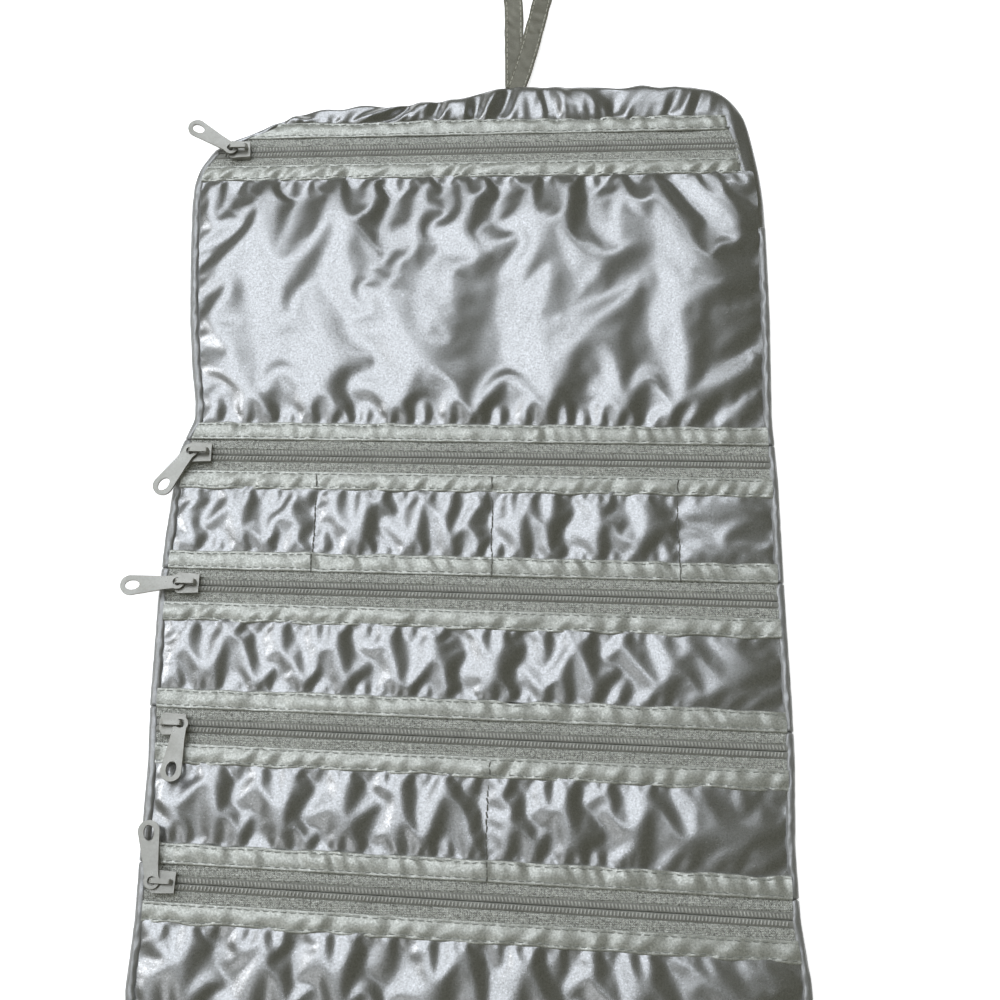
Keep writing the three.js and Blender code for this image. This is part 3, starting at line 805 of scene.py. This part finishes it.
def laid_net(number, x, y):
    """A pocket's cloth before it settles: swelled between its seams, in wide folds that lean."""
    low, high = y[0], y[-1]
    share = x / (HALF_WIDTH - POCKET_INSET)
    left, right = side_x(-1, y, POCKET_INSET), side_x(1, y, POCKET_INSET)
    across = (left + right) / 2 + share[:, None] * (right - left) / 2
    seams = np.array([x[0], *DIVIDERS[number], x[-1]])
    from_seam = np.abs(x[:, None] - seams).min(axis=1)
    room = np.minimum(np.minimum(y - low, high - y), from_seam[:, None])
    swell = 1 - np.clip(1 - room / SWELL_REACH, 0, 1) ** SWELL_POWER
    level = SEAM_LEVEL + (MOUTH_LEVEL - SEAM_LEVEL) * ((y - low) / (high - low)) ** MOUTH_TURN
    leaning = across + FOLD_LEAN[number] * y
    noise = FOLD_STRENGTH[number] * ripple(100 + number, leaning, y * 0.6, FOLD_WIDTHS[number])
    z = level + (POCKET_CROWN[number] - SEAM_LEVEL) * swell * (1 + noise)
    return as_points(across, y, z + fold_rise(number, across, y))


def pocket_net(number):
    """A pocket's settled cloth: pinned at its two sides, its mouth, its foot and its dividers."""
    low, high = POCKET_ENDS[number] - FOOT_LAP, MOUTHS[number] + MOUTH_LAP
    cell = COARSE_CELL[number]
    x, held = seam_places(number, int(2 * HALF_WIDTH / cell) + 1)
    y = np.linspace(low, high, int((high - low) / cell) + 2)
    net = laid_net(number, x, y)
    plan = net[..., :2].copy()
    calm = np.interp(x, CALM_ENDS[number], [1, CALM_SHARE])[:, None]
    spare = np.empty(plan.shape)
    spare[..., 0] = slack_by_row(number, y) * calm
    spare[..., 1] = HEIGHT_SLACK[number]
    bumps = ripple(300 + number, plan[..., 0], plan[..., 1], LINING_WAVE)
    floor = POCKET_FLOOR + LINING_RISE * (1 + np.clip(bumps, -1, 1))
    net = finer(settle(net, loose(net.shape[:2], held), plan, spare, floor, **COARSE_SETTLING))
    free = loose(net.shape[:2], [2 * column for column in held])
    puckers = ripple(200 + number, net[..., 0], net[..., 1] * 0.5, PUCKER_WAVE)
    net[..., 2] += PUCKER_RISE * free * puckers
    floor = finer(floor[..., None])[..., 0]
    return settle(net, free, finer(plan), finer(spare), floor, **FINE_SETTLING)


# %% Sew the pockets on
for number in range(5):
    net = pocket_net(number)
    pocket = smoothed(grid_piece(f"pocket_{number + 1}_satin", net, SATIN))
    follow(pocket, number + 1)
    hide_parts(f"pocket_{number + 1}")
    print("pocket", number + 1, "net", net.shape[:2], "highest", round(net[..., 2].max(), 1), "mm")

# %% [markdown]
# ## Zip facings
# A strip of pressed satin covers each edge of a zip's tape. Both of its edges are turned under and sewn,
# so it swells a little between two stitch lines and puckers where the pocket's gathers pull on it. Its
# section runs from under one edge, over the top, to under the other.

# %% Facing surface
FACING_LEVEL = 4.7
FACING_SECTION = np.array([
    [1.4, -0.75], [0.5, -0.7], [0.06, -0.45], [0.0, -0.15], [0.2, 0.08], [0.7, 0.12], [1.1, 0.03],
    [1.6, 0.2], [2.6, 0.42], [3.6, 0.46], [4.6, 0.4], [5.4, 0.22], [5.9, 0.02], [6.3, 0.12], [6.8, 0.02],
    [7.0, -0.3], [7.02, -0.8], [6.9, -1.3],
])
LIP = 6.0
ZIP_END_SHORT = 3.4
TOP_TUCK = 1.4
TUCK_FROM, TUCK_RUN = 4.5, 3
FACING_STEPS = 430
FACING_WIDTH = 7.0
PUCKER_MARKS = np.array([[0, 0.04], [0.6, 0.12], [3, 0.24], [5.6, 0.3], [7, 0.22]])
FACING_RIPPLE, FACING_DENT = 6.5, 21
SEAM_STRAY, SEAM_WAVE = 0.22, 16


def facing_lift(seed, x, away):
    """Puckers of a facing at a place along it and a distance from its lip: short cross ripples that are
    strongest beside the pocket seam, and a few wider dents."""
    strength = np.interp(away, *PUCKER_MARKS.T)
    small = ripple(seed, x + 0.5 * away, away * 0.55, FACING_RIPPLE)
    wide = ripple(seed + 1, x - 0.8 * away, away * 0.3, FACING_DENT)
    return strength * (0.75 * small + 0.8 * np.minimum(wide, 0.6))


def facing_wander(seed, x):
    """How far a facing's seam edge strays from a ruled line."""
    return SEAM_STRAY * ripple(seed + 2, x, 0 * x, SEAM_WAVE)


def across_roll(y, steps, inset=2.6):
    """Places from the left edge of the roll to the right one, for each height y in a row."""
    share = np.linspace(0, 1, steps)[:, None]
    end = inset + np.where(y > MOUTHS[0], ZIP_END_SHORT, 0)
    return side_x(-1, y, inset) * (1 - share) + side_x(1, y, end) * share


def facing_strip(name, chain, way, seed):
    """A facing above (way 1) or below (way -1) a zip's chain, from binding to binding. The top zip's
    right end is tucked under the band beside it."""
    away = FACING_SECTION[None, :, 0]
    x = across_roll(chain + way * (LIP + away), FACING_STEPS)
    over = np.where(np.arange(len(FACING_SECTION)) > 2, 1.0, 0.3)[None]
    lift = FACING_SECTION[None, :, 1] + over * facing_lift(seed, x, away)
    y = chain + way * (LIP + away + facing_wander(seed, x) * away / FACING_WIDTH)
    near_end = np.clip((x - x[-1:] + TUCK_FROM) / TUCK_RUN, 0, 1)
    tuck = TOP_TUCK * near_end ** 2 * (chain > MOUTHS[0])
    points = as_points(x, y, FACING_LEVEL + lift - tuck)
    return smoothed(grid_piece(name, points[:, ::way], FACING))


# %% Stitch rows
STITCH_PITCH = 2.9
STITCH_SIZE = (STITCH_PITCH * 0.7, 0.42, 0.4)
STITCH_ROWS = (1.1, 5.9)
STITCH_RISE = 0.1
STITCH_STRAY, STITCH_JITTER, STITCH_TURN = 0.25, 0.06, 0.09


def facing_stitches(name, chain, way, seed):
    """Two rows of stitches on a facing, one inside each turned edge, each stitch sunk into its dimple."""
    dice = np.random.default_rng(seed)
    places = []
    for away in STITCH_ROWS:
        left, right = across_roll(np.array([chain + way * (LIP + away)]), 2, 4.0)[:, 0]
        x = np.arange(left, right - 1, STITCH_PITCH)
        at = x + dice.uniform(-STITCH_STRAY, STITCH_STRAY, len(x))
        y = chain + way * (LIP + away + facing_wander(seed, at) * away / FACING_WIDTH)
        z = FACING_LEVEL + STITCH_RISE + facing_lift(seed, at, away)
        places.append(as_points(at, y + dice.normal(0, STITCH_JITTER, len(x)), z))
    places = np.concatenate(places)
    yaw = dice.normal(0, STITCH_TURN, len(places))
    return capsules(name, places, STITCH_SIZE, yaw, FACING_THREAD)


# %% Sew the facings on
for number, chain in enumerate(CHAINS):
    for way, word in ((1, "upper"), (-1, "lower")):
        node = f"zip_{number + 1}_facing_{word}"
        seed = 300 + 20 * number + way
        strip = facing_strip(f"{node}_satin", chain, way, seed)
        stitches = facing_stitches(f"{node}_stitches", chain, way, seed)
        for piece in (strip, stitches):
            if way > 0 and number > 0:
                fold(piece)
            else:
                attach(piece, f"panel_{number + 1}")
        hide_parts(node)
print("facings: 10, with two stitch rows each")

# %% [markdown]
# ## Zips
# A nylon zip is two woven tapes, each with a coil sewn along its edge. From above the coil shows as a row
# of short slanting bars between two cords, and the rows of the two tapes mesh half a step apart. The
# cords and the tape are each a section run along the zip. The bars are small capsules. The cords are
# coloured darker than the bars, as painted shade for the gaps between them.

# %% Tapes and coils
TAPE_LEVEL = 4.0
TAPE_SECTION = np.array([
    [2.3, -0.3], [2.55, -0.05], [2.8, 0.18], [3.2, 0.24], [4.2, 0.18], [5.2, 0.06], [6.2, 0.0],
    [7.4, 0.0], [8.6, -0.05],
])
COIL_SECTION = np.array([
    [0.05, -0.3], [0.08, 0.1], [0.3, 0.25], [0.8, 0.32], [1.4, 0.32], [1.9, 0.28], [2.2, 0.1], [2.4, -0.3],
])
TAPE_STEPS, COIL_STEPS = 180, 60
TAPE_WAVER, TAPE_WAVE = 0.12, 24
STIFF_TO, STIFF_RUN = 2.5, 3
TEETH_INSET = 4.5
TOOTH_PITCH = 1.18
TOOTH_FROM_CHAIN = 1.15
TOOTH_RISE = 0.55
TOOTH_LEAN = 0.25
TOOTH_SIZE = (1.42, 0.62, 0.85)


def zip_run(number, way, section, steps, seed):
    """A section carried along a zip's chain, from edge to edge of the roll."""
    chain = CHAINS[number]
    away = section[None, :, 0]
    x = across_roll(chain + way * away, steps)
    wave = TAPE_WAVER * ripple(seed, x, away * 2, TAPE_WAVE) * np.clip((away - STIFF_TO) / STIFF_RUN, 0, 1)
    points = as_points(x, chain + way * away, TAPE_LEVEL + section[None, :, 1] + wave)
    return points[:, ::way]


def teeth(name, number, way):
    """One row of bars on a coil: each lies across the zip and leans a little along it."""
    chain = CHAINS[number]
    left, right = across_roll(np.array([chain]), 2, TEETH_INSET)[:, 0]
    x = np.arange(left, right, TOOTH_PITCH) + (TOOTH_PITCH / 2 if way > 0 else 0)
    places = as_points(x, chain + way * TOOTH_FROM_CHAIN, TAPE_LEVEL + TOOTH_RISE)
    return capsules(name, places, TOOTH_SIZE, np.pi / 2 + way * TOOTH_LEAN, TOOTH)


for number in range(5):
    for way, word in ((1, "upper"), (-1, "lower")):
        node = f"zip_{number + 1}_stringer_{word}"
        seed = 500 + 10 * number + way
        weave = zip_run(number, way, TAPE_SECTION, TAPE_STEPS, seed)
        tape = grid_piece(f"zip_{number + 1}_tape_{word}", weave, TAPE)
        coil = zip_run(number, way, COIL_SECTION, COIL_STEPS, seed)
        cords = smoothed(grid_piece(f"zip_{number + 1}_cords_{word}", coil, CORDS_PAINTED_SHADE))
        bars = teeth(f"zip_{number + 1}_teeth_{word}", number, way)
        for piece in (tape, cords, bars):
            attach(piece, f"panel_{number + 1}")
            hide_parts(node)
print("zips: 5, with", len(bars.data.polygons), "faces in a row of teeth")

# %% [markdown]
# ## Sliders and pulls
# These are the solids themselves, since a die-cast slider is a plain hard shape. Their sharp edges are
# eased with a bevel, after the loose triangles are welded, and they get the painted metal finish.

# %% Ease the metal parts
WELD_REACH = 0.00001
SHARP_FROM = math.radians(35)
for number in range(1, 6):
    for word, ease in (("slider", 0.36), ("pull", 0.28)):
        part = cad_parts[f"zip_{number}_{word}"]
        part.data.materials.clear()
        part.data.materials.append(METAL)
        weld = part.modifiers.new("weld", "WELD")
        weld.merge_threshold = WELD_REACH
        bevel = part.modifiers.new("eased_edges", "BEVEL")
        bevel.width = ease * MM
        bevel.segments = 2
        bevel.limit_method = "ANGLE"
        bevel.angle_limit = SHARP_FROM
print("metal parts: 10")

# %% [markdown]
# ## Back, binding and end bands
# Behind the pockets lies a thin padded back. A narrow binding is rolled over both long edges, and the two
# ends are finished with a gathered band at the ties and a folded hem at the bottom. The back and the
# binding are cut just past each fold line, into one piece for each panel.

# %% Padded back
BACK_CUTS = np.concatenate([[ZIP_TOPS[0] - 1], POCKET_ENDS[:4] - BEND_REACH - 1, [-176.0]])
BACK_THICKNESS = 1.8
BACK_INSET = 1.2
BACK_ROW, BACK_SIDES = 2.5, 150
DENT_DEPTH, DENT_WAVE = 0.16, 18


def back_mat(name, high, low, seed):
    """A flat closed tube of satin: its underside lies on the table with shallow dents, its sides are
    round and its top is hidden under the pockets."""
    y = np.linspace(high, low, max(12, int((high - low) / BACK_ROW)))[:, None]
    around = once_around(BACK_SIDES)[None]
    share = pressed(np.cos(around), 0.35)
    lift = pressed(np.sin(around), 0.3)
    left, right = side_x(-1, y, BACK_INSET), side_x(1, y, BACK_INSET)
    x = (left + right) / 2 + share * (right - left) / 2
    dent = DENT_DEPTH * np.clip(ripple(seed, x, y, DENT_WAVE) + 0.7, 0, 2) * (lift < 0)
    z = BACK_THICKNESS / 2 * (1 + lift) + dent
    return grid_piece(name, as_points(x, y, z), SATIN, closed_columns=True)


for number in range(5):
    mat = back_mat(f"back_{number + 1}", BACK_CUTS[number], BACK_CUTS[number + 1], 600)
    follow(mat, number + 1)
    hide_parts(f"back_panel_{number + 1}")
print("back pieces: 5")

# %% Edge binding
BINDING_CUTS = np.concatenate([[156.0], POCKET_ENDS[:4] - BEND_REACH - 0.5, [-172.5]])
RIGHT_BINDING_TOP = 119.0
THIN_TOP, THIN_RUN = 0.75, 20
BINDING_ROW = 1.1
BINDING_PUCKER, BINDING_WAVE = 0.16, 5.5
CAP_OPENING = 0.04
BINDING_SECTION = np.array([
    [3.3, 3.1], [3.25, 3.7], [2.9, 4.2], [2.2, 4.5], [1.2, 4.4], [0.4, 3.8], [0.0, 2.7], [0.0, 1.5],
    [0.35, 0.5], [1.1, 0.05], [2.2, 0.0], [3.2, 0.1], [3.5, 0.6],
])


def capped(points):
    """Closes both ends of a section: one more row at each, drawn in to near the section's middle."""
    ends = points[[0, -1]]
    middle = ends.mean(axis=1, keepdims=True)
    caps = middle + CAP_OPENING * (ends - middle)
    return np.concatenate([caps[:1], points, caps[1:]])


def binding_roll(name, side, high, low, seed):
    """The binding's rolled section carried down one edge, with small puckers along its inner side."""
    y = np.linspace(high, low, max(20, int((high - low) / BINDING_ROW)))[:, None]
    inset = BINDING_SECTION[None, :, 0]
    level = BINDING_SECTION[None, :, 1]
    pucker = BINDING_PUCKER * ripple(seed, y, inset * 2.5 + level, BINDING_WAVE)
    edge = np.concatenate([side_x(side, y), y], axis=1)
    along = unit(np.gradient(edge, axis=0))
    inward = side * np.stack([along[:, 1], -along[:, 0]], axis=1)
    depth = inset + 0.7 * pucker * (inset > 1)
    plan = edge[:, None] + depth[..., None] * inward[:, None]
    rise = 1.0
    if side > 0:
        rise = np.interp(y, [RIGHT_BINDING_TOP - THIN_RUN, RIGHT_BINDING_TOP], [1, THIN_TOP])
    z = rise * (level + pucker * np.clip(level / 2, 0, 1))
    points = np.concatenate([plan, np.maximum(z, 0)[..., None]], axis=-1)
    return smoothed(grid_piece(name, capped(points[:, ::side]), BINDING))


for number in range(5):
    for side, word in ((-1, "left"), (1, "right")):
        high, low = BINDING_CUTS[number], BINDING_CUTS[number + 1]
        if side > 0:
            high = min(high, RIGHT_BINDING_TOP)
        roll = binding_roll(f"binding_{number + 1}_{word}", side, high, low, 700 + 10 * number + side)
        follow(roll, number + 1)
        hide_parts(f"edge_binding_{number + 1}_{word}")
print("binding pieces: 10")

# %% End bands
BAND_SECTION = np.array([
    [-0.10, 3.6, 4.4], [0.0, 4.6, 4.45], [0.10, 5.0, 4.4], [0.25, 5.2, 4.2], [0.45, 5.3, 3.9],
    [0.65, 5.25, 3.45], [0.82, 5.0, 2.9], [0.94, 4.4, 2.3], [1.0, 3.2, 1.6], [0.99, 1.5, 0.9],
    [0.93, 0.5, 0.4], [0.8, 0.1, 0.1], [0.5, 0.0, 0.0], [0.1, 0.0, 0.0],
])
CORNER_FAN = 4.0
CORNER_START = 0.12
EASED_OVER = 23
PLEATED = np.array([[-95, 0], [-70, 1], [60, 1], [84, 0.25]])
SLOPED = np.array([[76, 0], [96, 1]])
FULL_WIDTH = 9
NARROW_LEVEL, WIDE_GAIN = 0.72, 0.28
PLEAT_WAVE, CREASE_WAVE, SLANT_WAVE, STRAY_WAVE = 12, 5.5, 60, 13


def bottom_lines():
    """The bottom end's outline, with its round corners, and the straight seam above it, whose marks
    are drawn in at the corners so that the band turns with them."""
    across, along = BOTTOM_CORNER
    angle = np.linspace(CORNER_START, np.pi / 2, 24)
    x = HALF_WIDTH - across * (1 - np.cos(angle))
    y = along - TOP_Y - along * np.sin(angle)
    drawn_in = x - CORNER_FAN * np.cos(angle)
    seam = np.full(len(x), POCKET_ENDS[4])
    lines = []
    for line in ((x, y), (drawn_in, seam)):
        right = np.stack(line, axis=1)
        lines.append(np.concatenate([right * [-1, 1], right[::-1]]))
    return lines


def even_lines(outer, inner, steps):
    """An outer and an inner line with matching marks, spaced evenly by the outer one and eased."""
    gone = lengths_along(outer)
    even = np.linspace(0, gone[-1], steps)
    ease = np.hanning(EASED_OVER + 2)[1:-1]
    ends = EASED_OVER // 2
    lines = []
    for line in (outer, inner):
        spaced = at_lengths(line, gone, even)
        padded = np.pad(spaced, ((ends, ends), (0, 0)), mode="reflect", reflect_type="odd")
        eased = [np.convolve(padded[:, k], ease / ease.sum(), mode="valid") for k in range(2)]
        lines.append(np.stack(eased, axis=1))
    return lines


def end_band(name, lines, steps, pleat, seed):
    """A band from its seam line to the outline: its section swells between them, and pleats of uneven
    width run across it, pinched at the seam. It is lower and smoother where it is narrow."""
    outer, inner = even_lines(*lines, steps)
    share = BAND_SECTION[None, :, 0]
    reach = (outer - inner)[:, None]
    width = np.linalg.norm(reach, axis=-1)
    room = np.clip(width / FULL_WIDTH, 0, 1)
    x = outer[:, 0][:, None]
    calm = np.interp(x, *PLEATED.T)
    way = 1 if outer[0, 1] > 0 else -1
    sloped = np.interp(x, *SLOPED.T) * (way > 0)
    level = BAND_SECTION[None, :, 1] * (1 - sloped) + BAND_SECTION[None, :, 2] * sloped
    crest = np.clip(np.sin(np.pi * np.clip(share, 0, 1)) + 0.25, 0, 1) * (level > 1)
    slant = 9 * share * ripple(seed + 3, x, 0 * x, SLANT_WAVE)
    wave = ripple(seed, x + slant, 0 * x + share * 2, PLEAT_WAVE)
    small = ripple(seed + 1, x + 0.6 * slant, share * 3, CREASE_WAVE) * np.clip(1 - 1.6 * share, 0, 1)
    lift = pleat * calm * crest * (wave + 0.5 * small)
    stray = 0.4 * pleat * calm * ripple(seed + 2, x, 0 * x, STRAY_WAVE) * np.clip(share, 0, 1) ** 2
    plan = inner[:, None] + share[..., None] * reach * (1 + stray / np.maximum(width, 4))[..., None]
    z = np.maximum(level * (NARROW_LEVEL + WIDE_GAIN * room) + lift, 0)
    points = np.concatenate([plan, z[..., None]], axis=-1)
    return smoothed(grid_piece(name, capped(points[:, ::way]), SATIN))


top = end_band("top_band_satin", (TOP_OUTER, TOP_INNER), 600, 1.05, 820)
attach(top, "panel_1")
hem = end_band("bottom_hem_satin", bottom_lines(), 420, 0.2, 860)
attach(hem, "panel_5")
for band, node in ((top, "top_band"), (hem, "bottom_hem")):
    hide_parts(node)
print("end bands: 2")

# %% [markdown]
# ## Divider seams
# The second pocket is sewn through to the back along three lines and the fourth along one, in a darker
# thread that also crosses the facings above and below. The stitches follow the surface that they cross.

# %% Divider stitches
DIVIDER_PITCH = 2.3
DIVIDER_STITCH_SIZE = (2.1, 0.5, 0.45)
DIVIDER_STRAY = 0.12
OVER_CLOTH, OVER_FACING = 0.45, 0.62


def divider_stitches(name, number):
    """Stitches down each divider of a pocket: over the facing, into the gathered cloth, over the next."""
    dice = np.random.default_rng(900 + number)
    high = CHAINS[number] - LIP - 0.8
    low = ZIP_TOPS[number + 1] - 6.2
    y = np.arange(low, high, DIVIDER_PITCH)
    on_cloth = (y < MOUTHS[number] + 0.4) & (y > POCKET_ENDS[number])
    level = np.where(on_cloth, SEAM_LEVEL + OVER_CLOTH, FACING_LEVEL + OVER_FACING)
    places = []
    for seam in DIVIDERS[number]:
        x = seam + np.cumsum(dice.normal(0, DIVIDER_STRAY, len(y)))
        places.append(as_points(x, y, level))
    places = np.concatenate(places)
    yaw = np.pi / 2 + dice.normal(0, DIVIDER_STRAY, len(places))
    return capsules(name, places, DIVIDER_STITCH_SIZE, yaw, THREAD)


for number in (1, 3):
    stitches = divider_stitches(f"pocket_{number + 1}_dividers", number)
    fold(stitches)
print("divider seams: 4")

# %% [markdown]
# ## Table and light
# The roll lies on a plain white table. A wide soft light hangs where the flat cloth mirrors it to the
# camera, so level satin is bright and every steep side of a pucker turns dark, as in the photograph. Four
# others fill in: a faint glow around the first, a panel beyond the ties, one at the left, one in front.
# The table adds a little of its own white for the camera and for reflections, and keeps the roll's
# shadow. The room is dim and warm to the cloth, and white where the camera looks past the table.

# %% Table
TABLE_REACH = 4000.0
TABLE_LEVEL = -0.05
GLOW_SEEN = 0.72
GLOW_MIRRORED = 0.5


def table_top():
    """A wide white plane just under the roll."""
    ends = np.array([-TABLE_REACH, TABLE_REACH])
    points = as_points(ends[:, None], ends, TABLE_LEVEL)
    return grid_piece("table", points, table_white(), sewn=False)


def table_white():
    """White paint that also glows softly for camera and glossy rays, so that it reads as paper white."""
    material = bpy.data.materials.new("table_white")
    material.use_nodes = True
    tree = material.node_tree
    shader = tree.nodes["Principled BSDF"]
    set_inputs(shader, Base_Color=(0.9, 0.9, 0.9, 1), Roughness=0.9, Emission_Color=(1, 1, 1, 1))
    path = added(tree, "LightPath")
    seen = arithmetic(tree, "MULTIPLY", path.outputs["Is Camera Ray"], GLOW_SEEN)
    mirrored = arithmetic(tree, "MULTIPLY", path.outputs["Is Glossy Ray"], GLOW_MIRRORED)
    glow = arithmetic(tree, "MAXIMUM", seen, mirrored)
    tree.links.new(glow, shader.inputs["Emission Strength"])
    return material


table = table_top()
table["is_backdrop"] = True
print("table ready")

# %% Light
SKY_TINT = (0.91, 0.965, 1.06)
SIDE_TINT = (0.94, 0.97, 1.03)
ROOM_COLOUR = (0.121, 0.12, 0.08, 1)


def soft_light(name, place, sizes, radiance, tint, aim=(0, 0, 0)):
    """A rectangular area light that faces the aim and sends out the given radiance."""
    data = bpy.data.lights.new(name, "AREA")
    data.shape = "RECTANGLE"
    data.size, data.size_y = sizes
    data.energy = 4 * radiance * sizes[0] * sizes[1]
    data.color = tint
    lamp = bpy.data.objects.new(name, data)
    scene.collection.objects.link(lamp)
    toward = Vector(aim) - Vector(place)
    lamp.rotation_euler = toward.to_track_quat("-Z", "Y").to_euler()
    lamp.location = place


def room_world():
    """A dim room around the roll that is white to camera rays."""
    world = bpy.data.worlds.new("room")
    world.use_nodes = True
    tree = world.node_tree
    room = tree.nodes["Background"]
    set_inputs(room, Color=ROOM_COLOUR)
    paper = added(tree, "Background", Color=(1, 1, 1, 1))
    path = added(tree, "LightPath")
    either = added(tree, "MixShader")
    tree.links.new(path.outputs["Is Camera Ray"], either.inputs[0])
    tree.links.new(room.outputs[0], either.inputs[1])
    tree.links.new(paper.outputs[0], either.inputs[2])
    tree.links.new(either.outputs[0], tree.nodes["World Output"].inputs["Surface"])
    return world


soft_light("sky_panel", (-0.52, 0.7, 1.3), (1.2, 1.6), 1.62, SKY_TINT, aim=(-0.52, 0.7, 0))
soft_light("sky_glow", (-0.5, 0.7, 1.5), (2.0, 2.6), 0.12, SKY_TINT, aim=(-0.5, 0.7, 0))
soft_light("far_panel", (0.34, 1.35, 1.3), (0.52, 0.7), 1.9, SKY_TINT, aim=(0.34, 1.35, 0))
soft_light("side_panel", (-1.2, 0.2, 0.9), (0.42, 0.42), 4.6, SIDE_TINT)
soft_light("front_panel", (-0.55, -0.75, 1.15), (0.7, 0.7), 0.9, SIDE_TINT)
scene.world = room_world()

# %% Measure the visual box
low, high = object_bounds()
print("visual box:", [round(v * 1000, 1) for v in (*low, *high)])
